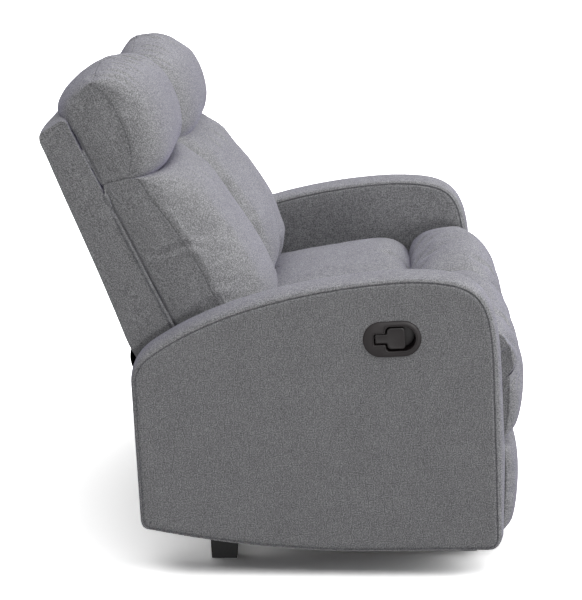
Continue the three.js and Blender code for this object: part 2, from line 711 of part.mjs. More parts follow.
// A flat ribbon along a path of square turns
function ribbon(points, width) {
  const sides = [-1, 1].map((hand) => points.map(([x, y], i) => {
    const before = points[Math.max(i - 1, 0)];
    const after = points[Math.min(i + 1, points.length - 1)];
    const into = [x - before[0], y - before[1]];
    const out = [after[0] - x, after[1] - y];
    const normals = [into, out].map(([a, b]) => {
      const length = Math.hypot(a, b);
      return length > 0 ? [-b / length, a / length] : [0, 0];
    });
    const push = [normals[0][0] + normals[1][0], normals[0][1] + normals[1][1]];
    return new THREE.Vector2(x + (hand * push[0] * width) / 2, y + (hand * push[1] * width) / 2);
  }));
  return new THREE.Shape([...sides[0], ...sides[1].reverse()]);
}

function seatDeck(side) {
  const half = SEAT_HALF - DECK_INSET;
  const [left, right] = seatSpan(side, half);
  const bottom = DECK_TOP - DECK_THICKNESS;
  const open = [DECK_FRONT + RAIL_FRONT, DECK_REAR - RAIL_REAR];
  const frame = cut(block([left, right], [DECK_FRONT, DECK_REAR], [bottom, DECK_TOP]), [
    block([left + RAIL_SIDE, right - RAIL_SIDE], open, [bottom - OVERRUN, DECK_TOP + OVERRUN]),
  ]);
  const gap = (right - left - 2 * RAIL_SIDE) / SPRINGS;
  const springs = Array.from({ length: SPRINGS }, (_, i) => {
    const centre = left + RAIL_SIDE + gap * (i + 1 / 2);
    const path = springPath(centre, open[0] - SPRING_WIRE, open[1] + SPRING_WIRE);
    return extrude(ribbon(path, SPRING_WIRE), SPRING_WIRE)
      .translate(0, 0, DECK_TOP - DECK_THICKNESS / 2);
  });
  return join([frame, ...springs]);
}

// Seat cushion, in shares of its length from the valley and of its height above the deck:
// side seam, then the cushion's middle
const SEAT_PAD_SHARES = [
  [0.015, -0.03, 0.015, -0.03], [0, 0.5, -0.005, 0.55], [0.012, 0.86, 0.01, 0.95],
  [0.06, 0.985, 0.075, 1.17], [0.17, 0.975, 0.2, 1.2], [0.42, 0.865, 0.44, 1.08],
  [0.66, 0.73, 0.66, 0.93], [0.81, 0.65, 0.81, 0.79], [0.94, 0.47, 0.94, 0.55],
  [0.995, 0.2, 0.995, 0.22], [0.98, -0.03, 0.98, -0.03], [0.5, -0.04, 0.5, -0.04],
];

function seatPad(side) {
  const rows = SEAT_PAD_SHARES;
  const toPlace = (along, up) => [VALLEY + along * SEAT_PAD_LENGTH, DECK_TOP + up * SEAT_PAD_HEIGHT];
  const below = block(seatSpan(side, SEAT_HALF + OVERRUN), [VALLEY - OVERRUN, SEAT_PAD_REAR + OVERRUN],
    [0, DECK_TOP + FIT]);
  return cut(cushion(rows, toPlace, side, 'y'), [below]);
}

// Front roll and footrest pad as one soft form, in shares of the run from the footrest's front
// to the valley and of the rise from the pad's lower edge to the roll's seam
const CHAISE_RISE = 235;
const CHAISE_SHARES = [
  [0.972, 0.41, 0.972, 0.41], [0.975, 0.7, 0.97, 0.73], [0.95, 0.893, 0.94, 0.946],
  [0.85, 0.976, 0.84, 1.065], [0.66, 1, 0.64, 1.119], [0.43, 0.988, 0.39, 1.128],
  [0.26, 0.923, 0.225, 1.048], [0.153, 0.812, 0.12, 0.88], [0.095, 0.66, 0.048, 0.68],
  [0.073, 0.468, 0.007, 0.468], [0.068, 0.3, 0, 0.3], [0.083, 0.18, 0.012, 0.185],
  [0.12, 0.075, 0.06, 0.08], [0.2, 0.012, 0.144, 0.015], [0.29, 0, 0.262, -0.005],
  [0.36, 0.03, 0.36, 0.03], [0.36, 0.2, 0.36, 0.2], [0.36, 0.36, 0.36, 0.36],
  [0.42, 0.383, 0.42, 0.383], [0.62, 0.37, 0.62, 0.37], [0.92, 0.335, 0.92, 0.335],
];

function chaise(side) {
  const toPlace = (along, up) => [FRONT + along * VALLEY_SETBACK, UPPER_PAD_BOTTOM + up * CHAISE_RISE];
  const span = seatSpan(side, SEAT_HALF + OVERRUN);
  const behind = block(span, [BOARD_FRONT - FIT, VALLEY + OVERRUN], [0, DECK_TOP + FIT]);
  return cut(cushion(CHAISE_SHARES, toPlace, side, 'z'), [behind]);
}

// The fold's plane leaves the board's top edge and rises towards the front.
// Half a space on one side of it, as a cutting tool.
function besideFold(side, shift, sign) {
  const reachOut = DEPTH / 2;
  const [left, right] = seatSpan(side, SEAT_HALF + OVERRUN);
  const slab = block([left, right], [-reachOut, reachOut], sign > 0 ? [0, reachOut] : [-reachOut, 0]);
  return slab.translate(0, 0, shift).rotateX(-radians(SPLIT_ANGLE))
    .translate(0, BOARD_FRONT, DECK_TOP + FIT);
}

function frontRoll(side) {
  return cut(chaise(side), [besideFold(side, SPLIT_GAP / 2, -1)]);
}

function upperPad(side) {
  return cut(chaise(side), [besideFold(side, -SPLIT_GAP / 2, 1)]);
}

// Lower footrest pad, in shares of the board's setback and of the pad's height
const LOWER_PAD_SHARES = [
  [0.86, 0.95, 0.86, 0.95], [0.63, 0.99, 0.57, 1], [0.43, 0.92, 0.31, 0.93],
  [0.31, 0.71, 0.135, 0.71], [0.28, 0.47, 0.1, 0.44], [0.31, 0.23, 0.135, 0.2],
  [0.43, 0.06, 0.28, 0.04], [0.63, 0.01, 0.54, 0], [0.86, 0.04, 0.86, 0.03],
];

function lowerPad(side) {
  const rise = LOWER_PAD_TOP - LOWER_PAD_BOTTOM;
  const toPlace = (along, up) => [FRONT + along * BOARD_SETBACK, LOWER_PAD_BOTTOM + up * rise];
  const behind = block(seatSpan(side, SEAT_HALF + OVERRUN), [BOARD_FRONT - FIT, BOARD_REAR + OVERRUN],
    [0, DECK_TOP]);
  return cut(cushion(LOWER_PAD_SHARES, toPlace, side, 'z'), [behind]);
}

// Back pieces, drawn upright with the frame's front face at zero and its foot at the origin
function leaningGroup(side) {
  const group = new THREE.Group();
  group.position.set(0, BACK_FOOT, BACK_FOOT_HEIGHT);
  group.rotation.x = -radians(BACK_LEAN);
  group.name = side === RIGHT ? 'right_back_group' : 'left_back_group';
  sofa.add(group);
  return group;
}

// A place of the upright sofa, as the leaning back sees it
function inLean(centre) {
  const y = centre.y - BACK_FOOT;
  const z = centre.z - BACK_FOOT_HEIGHT;
  const angle = radians(BACK_LEAN);
  return { y: y * Math.cos(angle) - z * Math.sin(angle), z: y * Math.sin(angle) + z * Math.cos(angle) };
}

const POCKET_TOP = 40;
const POCKET_FRONT = 15;
const POCKET_REAR = 80;
const BRACKET_TOP = 34;
const BRACKET_HALF = 17;
const BRACKET_OFFSET = PLATE_OFFSET + STEEL + HEAD_CLEARANCE * 3;

function backFrame(side) {
  const slope = BACK_CORNER / 2;
  const shape = new THREE.Shape();
  shape.moveTo(0, -BACK_TAIL);
  shape.lineTo(BACK_TAIL_THICKNESS, -BACK_TAIL);
  shape.lineTo(BACK_FOOT_THICKNESS, BACK_TAIL - BACK_CORNER);
  shape.lineTo(BACK_TOP_THICKNESS, BACK_RISE - 2 * BACK_CORNER);
  shape.quadraticCurveTo(
    BACK_TOP_THICKNESS - slope / 2, BACK_RISE - BACK_CORNER, BACK_TOP_THICKNESS - BACK_CORNER, BACK_RISE - BACK_CORNER,
  );
  shape.lineTo(slope, BACK_RISE);
  shape.lineTo(0, BACK_RISE - slope / 2);
  shape.closePath();
  const pockets = [OUTER, INNER].map((hand) => block(
    reach(side, hand, BRACKET_OFFSET - FIT, SEAT_HALF + OVERRUN),
    [POCKET_FRONT, POCKET_REAR],
    [-BACK_TAIL - OVERRUN, POCKET_TOP],
  ));
  return cut(across(shape, seatSpan(side, SEAT_HALF)), pockets);
}

// The steel arm that hangs the back on the seat's rear pivot
function backBracket(side, hand) {
  const pivot = inLean(BACK_PIVOT);
  const top = { y: (POCKET_FRONT + POCKET_REAR) / 2, z: BRACKET_TOP - BRACKET_HALF };
  const shape = roundedBar(pivot, top, BRACKET_HALF);
  const plate = across(shape, reach(side, hand, BRACKET_OFFSET, BRACKET_OFFSET + STEEL));
  return join([plate, ...rivet(side, hand, pivot, BRACKET_OFFSET + STEEL / 2, PLATE_OFFSET - HEAD_CLEARANCE)]);
}

// Black lining cloth that closes the back below its upholstered panel
function backLining(side) {
  const upper = new THREE.Vector2(BACK_FOOT_THICKNESS + FIT, BACK_TAIL - BACK_CORNER);
  const lower = new THREE.Vector2(BACK_TAIL_THICKNESS + FIT, -BACK_TAIL);
  const bulge = upper.clone().lerp(lower, LINING_LOW_SHARE).add(new THREE.Vector2(LINING_BULGE * 2, 0));
  const curve = new THREE.QuadraticBezierCurve(upper, bulge, lower);
  const inner = curve.getPoints(LINING_STEPS);
  const shift = new THREE.Vector2(LINING_THICKNESS, 0);
  const outer = inner.map((point) => point.clone().add(shift)).reverse();
  return across(new THREE.Shape([...inner, ...outer]), seatSpan(side, SEAT_HALF - LINING_INSET));
}

// Back cushion and head cushion, in shares of the back cushion's thickness and the back's rise
const BACK_PAD_SHARES = [
  [-0.02, -0.085, -0.02, -0.085], [0.3, -0.1, 0.52, -0.115], [0.53, -0.055, 0.87, -0.08],
  [0.57, 0.03, 1, 0], [0.56, 0.175, 1, 0.175], [0.51, 0.37, 0.98, 0.35],
  [0.455, 0.5, 0.91, 0.52], [0.37, 0.62, 0.775, 0.615], [0.22, 0.645, 0.4, 0.58],
  [0.05, 0.64, 0.05, 0.575], [-0.02, 0.6, -0.02, 0.55], [-0.02, 0.29, -0.02, 0.29],
];
const HEAD_PAD_SHARES = [
  [-0.02, 0.69, -0.02, 0.65], [-0.02, 0.85, -0.02, 0.81], [-0.02, 0.985, -0.02, 0.985],
  [-0.045, 1.025, -0.045, 1.03], [0, 1.075, 0.01, 1.078], [0.245, 1.108, 0.33, 1.1],
  [0.46, 1.087, 0.68, 1.08], [0.52, 0.996, 0.93, 1.006], [0.515, 0.93, 0.99, 0.93],
  [0.47, 0.83, 0.975, 0.825], [0.4, 0.75, 0.87, 0.725], [0.28, 0.69, 0.68, 0.645],
  [0.11, 0.672, 0.33, 0.61],
];

function backSoft(side, rows) {
  const toPlace = (out, up) => [-out * BACK_PAD_THICKNESS, up * BACK_RISE];
  const behind = block(
    seatSpan(side, SEAT_HALF + OVERRUN), [-FIT, BACK_FOOT_THICKNESS], [-2 * BACK_TAIL, BACK_RISE + FIT],
  );
  return cut(cushion(rows, toPlace, side, 'z'), [behind]);
}

// Assembly
for (const side of [RIGHT, LEFT]) {
  const hand = side === RIGHT ? 'right' : 'left';
  place(`${hand}_arm`, arm(side), FABRIC);
  place(`${hand}_handle_bezel`, bezel(side), PLASTIC);
  place(`${hand}_handle_lever`, lever(side), PLASTIC);
  place(`${hand}_seat_deck`, seatDeck(side), BOARD);
  place(`${hand}_seat_cushion`, seatPad(side), FABRIC);
  place(`${hand}_front_roll`, frontRoll(side), FABRIC);
  place(`${hand}_upper_pad`, upperPad(side), FABRIC);
  place(`${hand}_upper_board`, board(side, UPPER_BOARD_BOTTOM, UPPER_BOARD_TOP), BOARD);
  place(`${hand}_lower_pad`, lowerPad(side), FABRIC);
  place(`${hand}_lower_board`, lowerBoard(side), BOARD);
  const back = leaningGroup(side);
  place(`${hand}_back_frame`, backFrame(side), FABRIC, back);
  place(`${hand}_back_lining`, backLining(side), LINING, back);
  place(`${hand}_back_cushion`, backSoft(side, BACK_PAD_SHARES), FABRIC, back);
  place(`${hand}_head_cushion`, backSoft(side, HEAD_PAD_SHARES), FABRIC, back);
  for (const [where, which] of [['outer', OUTER], ['inner', INNER]]) {
    place(`${hand}_${where}_channel`, baseChannel(side, which), STEELWORK);
    place(`${hand}_${where}_seat_plate`, seatPlate(side, which), STEELWORK);
    place(`${hand}_${where}_link_a`, linkA(side, which), STEELWORK);
    place(`${hand}_${where}_link_b`, linkB(side, which), STEELWORK);
    place(`${hand}_${where}_board_bracket`, boardBracket(side, which), STEELWORK);
    place(`${hand}_${where}_back_bracket`, backBracket(side, which), STEELWORK, back);
  }
  const tubeMiddle = CHANNEL_FRONT + TUBE / 2;
  const underTube = [tubeMiddle - FOOT_WIDTH / 2, tubeMiddle + FOOT_WIDTH / 2];
  const front = footSpan(side, FRONT_FOOT_INSET, FOOT_LENGTH);
  place(`${hand}_front_foot`, foot(front, underTube, FOOT_HEIGHT - TUBE - FIT), RUBBER);
  place(`${hand}_rear_foot`, foot(footSpan(side, FIT, FOOT_WIDTH), lengthwise(REAR_FOOT)), RUBBER);
}
const inside = [-FOOT_WIDTH, FOOT_WIDTH];
place('middle_front_foot', foot(inside, lengthwise(FRONT_FOOT)), RUBBER);
place('middle_rear_foot', foot(inside, lengthwise(REAR_FOOT)), RUBBER);
place('front_tube', squareTube(ARM_INSIDE - FRONT_TUBE_INSET, CHANNEL_FRONT, FOOT_HEIGHT - TUBE), STEELWORK);
place('rear_tube', squareTube(ARM_INSIDE - FIT, CHANNEL_REAR + FIT, FOOT_HEIGHT + REAR_TUBE_LIFT), STEELWORK);

export default sofa;
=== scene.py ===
"""Two-seat reclining sofa: upholstery, handles, mechanism finishes and a pale studio round its frame."""
import json
import math

import bmesh
import bpy
from mathutils import Matrix, Vector, noise
from mathutils.kdtree import KDTree


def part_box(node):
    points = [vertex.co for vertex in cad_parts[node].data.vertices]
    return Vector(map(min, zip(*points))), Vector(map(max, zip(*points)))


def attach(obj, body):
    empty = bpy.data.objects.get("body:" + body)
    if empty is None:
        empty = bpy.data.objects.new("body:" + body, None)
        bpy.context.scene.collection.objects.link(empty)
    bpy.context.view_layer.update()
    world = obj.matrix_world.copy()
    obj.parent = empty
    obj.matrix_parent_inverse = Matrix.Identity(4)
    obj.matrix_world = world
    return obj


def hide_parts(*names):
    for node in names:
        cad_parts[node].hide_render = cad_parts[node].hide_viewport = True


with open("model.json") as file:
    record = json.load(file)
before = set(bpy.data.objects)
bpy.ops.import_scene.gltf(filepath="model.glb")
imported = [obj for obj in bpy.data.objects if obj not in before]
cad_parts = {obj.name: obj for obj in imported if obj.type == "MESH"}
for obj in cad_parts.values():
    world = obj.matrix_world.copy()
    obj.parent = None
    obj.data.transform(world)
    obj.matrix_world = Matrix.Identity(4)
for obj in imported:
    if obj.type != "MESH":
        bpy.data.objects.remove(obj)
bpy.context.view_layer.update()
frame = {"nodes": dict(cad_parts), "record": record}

bl_info = {
    "name": "Reclining sofa",
    "version": (1, 0, 0),
    "blender": (4, 5, 0),
    "location": "View3D > Sidebar > Sofa",
    "description": "Builds the upholstery and finishes of a two-seat reclining sofa",
    "category": "Object",
}

MM = 0.001

# Places that the upholstery follows, in millimetres. The sitter's right is at -X.
SEAT_CENTRE = 240
SEAT_HALF = 237
ENDS = (-SEAT_CENTRE - SEAT_HALF, -SEAT_CENTRE + SEAT_HALF)
ARM_FACE = 585
ARM_THICKNESS = 100
ARM_FRONT = -420
ARM_LENGTH = 717
ARM_HEIGHT = 594
BACK_FOOT = Vector((195, 428))
HANDLE_CENTRE = Vector((-206, 481))

# Side outline of an arm at its seams, in shares of its length and height. Each stretch has its
# curve's points, its number of steps, and the share of the crown at its start and end.
ARM_SHARES = (
    (((0.001, 0.138), (0.01, 0.407)), 22, (0.6, 1)),
    (((0.01, 0.407), (0.035, 0.911), (-0.003, 1), (0.251, 1)), 68, (1, 0.4)),
    (((0.251, 1), (0.271, 1), (0.69, 0.976), (0.944, 0.751)), 66, (0.4, 0.65)),
    (((0.944, 0.751), (0.967, 0.731), (0.99, 0.704), (0.992, 0.653)), 12, (0.65, 0.35)),
    (((0.992, 0.653), (0.974, 0.189)), 26, (0.35, 0.25)),
    (((0.974, 0.189), (0.972, 0.158), (0.948, 0.157)), 8, (0.25, 0)),
    (((0.948, 0.157), (0.753, 0.111), (0.558, 0.088), (0.377, 0.088)), 30, (0, 0)),
    (((0.377, 0.088), (0.031, 0.096)), 16, (0, 0)),
    (((0.031, 0.096), (0.003, 0.098), (0.001, 0.138)), 10, (0, 0.6)),
)
# From the outer face to the inner one: share of the arm's thickness, and millimetres out from
# the seam's outline. The band rises between the two seams.
ARM_EDGE = ((-0.003, -18), (-0.003, -13), (0.0, -8.5), (0.005, -6), (0.018, -4.8),
            (0.05, -4.4), (0.03, -2.9), (0.011, -2.0), (0.009, -0.9), (0.018, -0.2))
BAND_SHARES = (0.032, 0.037, 0.046, 0.06, 0.085, 0.12, 0.17, 0.24, 0.34, 0.5)
BAND_LIFT = 1.6
BAND_ROUNDNESS = 2.6

# Sections of the soft pieces in millimetres, as side seam then cushion's middle.
# On the seat the two numbers are the depth and height places of the closed sofa.
SEAT_SECTION = (
    (-262, 338, -262, 338), (-268.5, 394, -270.5, 400), (-264, 435, -265, 446),
    (-247, 449, -241, 470), (-202, 448.5, -191, 474.5), (-105, 436, -98, 461),
    (-12, 420.5, -12, 443.5), (46, 411, 46, 427.5), (96, 391, 96, 400), (117, 360, 117.5, 362),
    (111, 338, 111, 338), (-75, 337.2, -75, 337.2),
)
ROLL_SECTION = (
    (-274.4, 338, -274.4, 338), (-273.8, 405, -275, 411), (-278, 448, -281, 462),
    (-300, 468, -302, 490), (-340.6, 474, -344.8, 503), (-389, 472, -397.8, 505),
    (-422, 458, -430, 486), (-438, 436, -452, 447), (-444, 410, -465.5, 412),
    (-446, 396, -469.5, 400), (-441, 384, -459, 388), (-430, 366, -430, 366),
    (-414, 344, -414, 344), (-403, 337.2, -403, 337.2), (-340, 337.2, -340, 337.2),
)
UPPER_PAD_SECTION = (
    (-412.6, 334, -412.6, 334), (-426, 352, -430, 356), (-434, 370, -455, 383),
    (-438, 376, -469, 394), (-439, 362, -474, 378), (-439.5, 342, -476.5, 352),
    (-439, 316, -476.5, 316), (-438, 290, -473, 288), (-435, 264, -462, 258),
    (-429, 247, -447, 242), (-420, 242, -426, 240), (-412.6, 247, -412.6, 247),
    (-412.6, 290, -412.6, 290),
)
LOWER_PAD_SECTION = (
    (-412.6, 227, -412.6, 228), (-424, 233, -430, 236), (-432, 225, -449, 229),
    (-436, 200, -463, 203), (-437, 165, -468.5, 165), (-437, 128, -469.5, 122),
    (-436, 92, -466, 84), (-432, 62, -455, 56), (-424, 50, -437, 46.5),
    (-412.6, 51, -412.6, 51), (-412.6, 140, -412.6, 140),
)
# On the back they are the place out from the frame's front face and up its lean.
BACK_PAD_SECTION = (
    (0.8, -44, 0.8, -44), (55, -52, 96, -58), (97, -28, 172, -36), (99, -5, 185, -6),
    (99, 15, 190, 18), (97.5, 72, 192, 66), (98, 136, 189, 120), (93.5, 189, 179.5, 185),
    (86, 249, 171, 244), (75.5, 299, 162, 284), (69.5, 345, 149, 312), (35, 359, 130, 328),
    (7, 364, 60, 320), (0.8, 345, 0.8, 310), (0.8, 130, 0.8, 130),
)
HEAD_PAD_SECTION = (
    (6, 371, 5, 330), (0.8, 440, 0.8, 419), (3, 470, 0.8, 505), (10, 488, -19, 518),
    (19, 502, -26, 528), (32, 515, -12, 546), (50, 530, 26, 561), (73, 545, 92, 566),
    (83, 534, 123, 558), (89.5, 521, 144, 542), (93, 503, 159, 513), (93, 470, 166, 483),
    (91, 436, 166, 433), (85.5, 406, 160, 398), (79.5, 389, 152, 373), (71, 375, 141, 351),
    (56, 361, 113, 335), (29, 366, 68, 323),
)
HEAD_SEAM_ROW = 7
# The back's shell has the same coordinates, with places behind the frame's face below zero.
BACK_SHELL_SECTION = (
    (-2, -60, -2, -60), (-42, -60, -42, -60), (-80, -60, -81, -60), (-90, -6, -92, -6),
    (-96, 50, -98, 50), (-89.5, 130, -92, 130), (-75, 320, -78, 320), (-65.5, 462, -68, 462),
    (-63.5, 496, -65, 499), (-57, 507, -58, 511), (-32, 510.5, -32, 516), (-9, 512, -9, 518),
    (0, 508, 0, 511), (0, 480, 0, 480), (0, 230, 0, 230), (-1, -30, -1, -30),
)
# Side curve of the lining in the same coordinates, the sheet's margin and its thickness
LINING_CURVE = ((-99, 48), (-133, 10), (-83, -60))
LINING_MARGIN = 1.5
LINING_THICKNESS = 0.7

# Folds at the back cushion's side seams: places as the distance in from the seam, out from the
# frame and up its lean, then the fold's depth and half width
BACK_FOLDS = (
    (((0, 24, 200), (0, 42, 193), (0, 68, 192), (0, 97, 189), (6, 119, 173), (14, 137, 157)), 2.8, 7),
    (((0, 16, 59), (0, 52, 64), (0, 75, 66), (0, 102, 63), (12, 140, 51)), 3.0, 8),
    (((0, 46, 120), (0, 80, 136)), 1.6, 7),
)
# Gathers in front of the head cushion's top seam: share of the half width, length, depth, half width
HEAD_GATHERS = (
    (-0.88, 60, 3.2, 5), (-0.76, 100, 3.0, 5), (-0.64, 60, 2.2, 4), (-0.53, 120, 3.0, 5),
    (-0.4, 80, 2.4, 4), (-0.28, 120, 3.0, 5), (-0.16, 70, 2.2, 4), (-0.03, 100, 2.6, 5),
    (0.1, 60, 2.0, 4), (0.22, 110, 2.8, 5), (0.36, 70, 2.4, 4), (0.5, 100, 2.8, 5),
    (0.64, 70, 2.4, 4), (0.78, 110, 3.0, 5), (0.9, 60, 2.6, 4),
)


class SofaForm(bpy.types.PropertyGroup):
    """Sizes of the upholstery."""

    back_lean: bpy.props.FloatProperty(
        name="Back lean", description="Lean of the closed back from upright",
        default=math.radians(26.7), subtype="ANGLE")
    handle_tilt: bpy.props.FloatProperty(
        name="Handle tilt", description="How far the front end of each handle points up",
        default=math.radians(3), subtype="ANGLE")
    band_crown: bpy.props.FloatProperty(
        name="Band crown", description="How far an arm's padded band stands out at its front",
        default=15 * MM, unit="LENGTH")
    mesh_step: bpy.props.FloatProperty(
        name="Mesh step", description="Distance between mesh lines on a cushion",
        default=8 * MM, unit="LENGTH")
    side_puff: bpy.props.FloatProperty(
        name="Side puff", description="How far a cushion's side panel swells between its seams",
        default=2.5 * MM, unit="LENGTH")
    seam_depth: bpy.props.FloatProperty(
        name="Seam depth", description="Depth of the groove that a sewn seam pulls in",
        default=2.4 * MM, unit="LENGTH")
    seam_width: bpy.props.FloatProperty(
        name="Seam width", description="Half width of the groove that a sewn seam pulls in",
        default=1.0 * MM, unit="LENGTH")
    stitch_pitch: bpy.props.FloatProperty(
        name="Stitch pitch", description="Distance from one stitch to the next",
        default=5 * MM, unit="LENGTH")
    fill_pressure: bpy.props.FloatProperty(
        name="Fill pressure", description="How hard the filling presses on the covers",
        default=4.0, min=0)


class SofaLook(bpy.types.PropertyGroup):
    """Colours of the finishes, as sRGB."""

    cloth: bpy.props.StringProperty(
        name="Cloth", description="Middle tone of the melange cloth", default="#929294")
    cloth_dark: bpy.props.StringProperty(
        name="Cloth, dark yarn", description="Darker yarn of the melange cloth", default="#68686A")
    cloth_light: bpy.props.StringProperty(
        name="Cloth, light yarn", description="Lighter yarn of the melange cloth", default="#BEBEC1")
    nap: bpy.props.StringProperty(
        name="Nap", description="Cast of the cloth's brushed nap", default="#C6BEF6")
    thread: bpy.props.StringProperty(
        name="Thread", description="Sewing thread", default="#6A6A6E")
    plastic: bpy.props.StringProperty(
        name="Handle", description="Moulded plastic of the handles", default="#1F191A")
    steel: bpy.props.StringProperty(
        name="Steel", description="Powder coat on the mechanism", default="#26272A")
    board: bpy.props.StringProperty(
        name="Board", description="Plywood of the boards and seat frames", default="#B48E5F")
    floor: bpy.props.StringProperty(
        name="Floor", description="Studio floor as the camera sees it", default="#FAFAFA")
    floor_bounce: bpy.props.StringProperty(
        name="Floor, bounced", description="Studio floor in the light that it throws back",
        default="#8C8C8C")


class SofaStage(bpy.types.PropertyGroup):
    """Camera and lamps."""

    camera_place: bpy.props.FloatVectorProperty(
        name="Camera place", description="Where the camera stands", size=3,
        default=(-4.659, -0.104, 1.506), unit="LENGTH")
    camera_target: bpy.props.FloatVectorProperty(
        name="Camera target", description="What the camera looks at", size=3,
        default=(0, 0, 0.42), unit="LENGTH")
    camera_lens: bpy.props.FloatProperty(
        name="Lens", description="Focal length in millimetres on a 36 mm frame", default=132)
    overhead_place: bpy.props.FloatVectorProperty(
        name="Overhead place", description="Where the broad light overhead shines from", size=3,
        default=(0.45, -0.3, 3), subtype="DIRECTION")
    overhead_strength: bpy.props.FloatProperty(
        name="Overhead strength", description="Strength of the broad light overhead", default=2.5)
    overhead_spread: bpy.props.FloatProperty(
        name="Overhead spread", description="Apparent size of the broad light overhead",
        default=math.radians(100), subtype="ANGLE")
    front_place: bpy.props.FloatVectorProperty(
        name="Front place", description="Where the low light in front shines from", size=3,
        default=(0.3, -3, 1.3), subtype="DIRECTION")
    front_strength: bpy.props.FloatProperty(
        name="Front strength", description="Strength of the low light in front", default=1.5)
    front_spread: bpy.props.FloatProperty(
        name="Front spread", description="Apparent size of the low light in front",
        default=math.radians(45), subtype="ANGLE")
    side_place: bpy.props.FloatVectorProperty(
        name="Side place", description="Where the level light at the side shines from", size=3,
        default=(-3, -0.6, 0.1), subtype="DIRECTION")
    side_strength: bpy.props.FloatProperty(
        name="Side strength", description="Strength of the level light at the side", default=0.66)
    side_spread: bpy.props.FloatProperty(
        name="Side spread", description="Apparent size of the level light at the side",
        default=math.radians(8), subtype="ANGLE")
    ambient: bpy.props.FloatProperty(
        name="Ambient", description="Strength of the light from all round", default=0.11)


def srgb(value):
    """A hex colour as the linear colour that a shader takes."""
    parts = [int(value[i:i + 2], 16) / 255 for i in (1, 3, 5)]
    return [p / 12.92 if p <= 0.04045 else ((p + 0.055) / 1.055) ** 2.4 for p in parts] + [1.0]


def node(tree, kind, inputs=None, **settings):
    """Adds a shader node with its settings. An input is a value, a socket or a node's first output."""
    made = tree.nodes.new("ShaderNode" + kind)
    for name, value in settings.items():
        setattr(made, name, value)
    for name, value in (inputs or {}).items():
        if isinstance(value, bpy.types.Node):
            value = value.outputs[0]
        if isinstance(value, bpy.types.NodeSocket):
            tree.links.new(value, made.inputs[name])
        else:
            made.inputs[name].default_value = value
    return made


def colour_stops(ramp, *stops):
    """Gives a colour ramp its stops, each a place from 0 to 1 and a hex colour."""
    elements = ramp.color_ramp.elements
    for _ in stops[2:]:
        elements.new(0.5)
    for element, (place, value) in zip(elements, stops):
        element.position = place
        element.color = srgb(value)


def finish(name, make, *values):
    """The material of that name, made the first time that it is asked for."""
    material = bpy.data.materials.get(name)
    if material is None:
        material = bpy.data.materials.new(name)
        material.use_nodes = True
        tree = material.node_tree
        tree.nodes.clear()
        node(tree, "OutputMaterial", {"Surface": make(tree, *values)})
    return material


# Woven polyester upholstery: a melange of dark and light yarns, brushed a little so that it has
# a soft nap. That gives the eye a fine speckled grey, faint streaks along the yarns, and a cool
# paler cast where the nap catches light. Yarns are drawn coarser than the real half millimetre,
# so that they show. Sizes are in millimetres.
THREAD_SPACING = 1.5
FIBRE_SIZE = 1.1
MELANGE_GRAIN = 2.2
MELANGE_CONTRAST = 2.2
MELANGE_LEVEL = 0.42
SLUB_LENGTH = 14
SLUB_WIDTH = 1.7
NAP_PATCH = 60
NAP_CONTRAST = 0.16


def faced(tree, side, power):
    """How squarely a surface faces along an axis, from 0 to 1."""
    size = node(tree, "Math", {0: side}, operation="ABSOLUTE")
    return node(tree, "Math", {0: size, 1: power}, operation="POWER")


def yarn_tone(tree, place, facing):
    """Lightness of the melange: specks, slubs along the yarns of each plane, and a soft patchiness."""
    grain = node(tree, "TexNoise", {"Vector": place, "Scale": 1 / (MELANGE_GRAIN * MM), "Detail": 1.5,
                                    "Roughness": 0.6})
    tone = node(tree, "Math", {0: grain, 1: MELANGE_CONTRAST, 2: -MELANGE_CONTRAST / 2},
                operation="MULTIPLY_ADD")
    sides = node(tree, "SeparateXYZ", {"Vector": facing}).outputs
    sideways, upward = faced(tree, sides[0], 2.0), faced(tree, sides[2], 2.0)
    long, fine = 1 / (SLUB_LENGTH * MM), 1 / (SLUB_WIDTH * MM)
    for scale, share, weight in (((fine, long, fine), upward, 0.6), ((long, fine, long), sideways, 0.3),
                                 ((long, long, fine), sideways, 0.22)):
        stretched = node(tree, "Mapping", {"Vector": place, "Scale": scale})
        slubs = node(tree, "TexNoise", {"Vector": stretched, "Scale": 1.0, "Detail": 2.0})
        streak = node(tree, "Math", {0: slubs, 1: 2 * weight, 2: -weight}, operation="MULTIPLY_ADD")
        tone = node(tree, "Math", {0: streak, 1: share, 2: tone}, operation="MULTIPLY_ADD")
    patches = node(tree, "TexNoise", {"Vector": place, "Scale": 1 / (NAP_PATCH * MM), "Detail": 2.0})
    level = node(tree, "Math", {0: tone, 1: MELANGE_LEVEL}, operation="ADD")
    return node(tree, "Math", {0: patches, 1: NAP_CONTRAST, 2: level}, operation="MULTIPLY_ADD")


def weave_height(tree, place, facing):
    """Over-and-under threads on the three main planes, each shown on the faces that it fits."""
    waves = []
    for axis in node(tree, "SeparateXYZ", {"Vector": place}).outputs:
        phase = node(tree, "Math", {0: axis, 1: math.pi / (THREAD_SPACING * MM)}, operation="MULTIPLY")
        waves.append(node(tree, "Math", {0: phase}, operation="SINE"))
    height = 0.0
    for i, side in enumerate(node(tree, "SeparateXYZ", {"Vector": facing}).outputs):
        first, second = waves[(i + 1) % 3], waves[(i + 2) % 3]
        threads = node(tree, "Math", {0: first, 1: second}, operation="MULTIPLY")
        height = node(tree, "Math", {0: threads, 1: faced(tree, side, 3.0), 2: height},
                      operation="MULTIPLY_ADD")
    return height


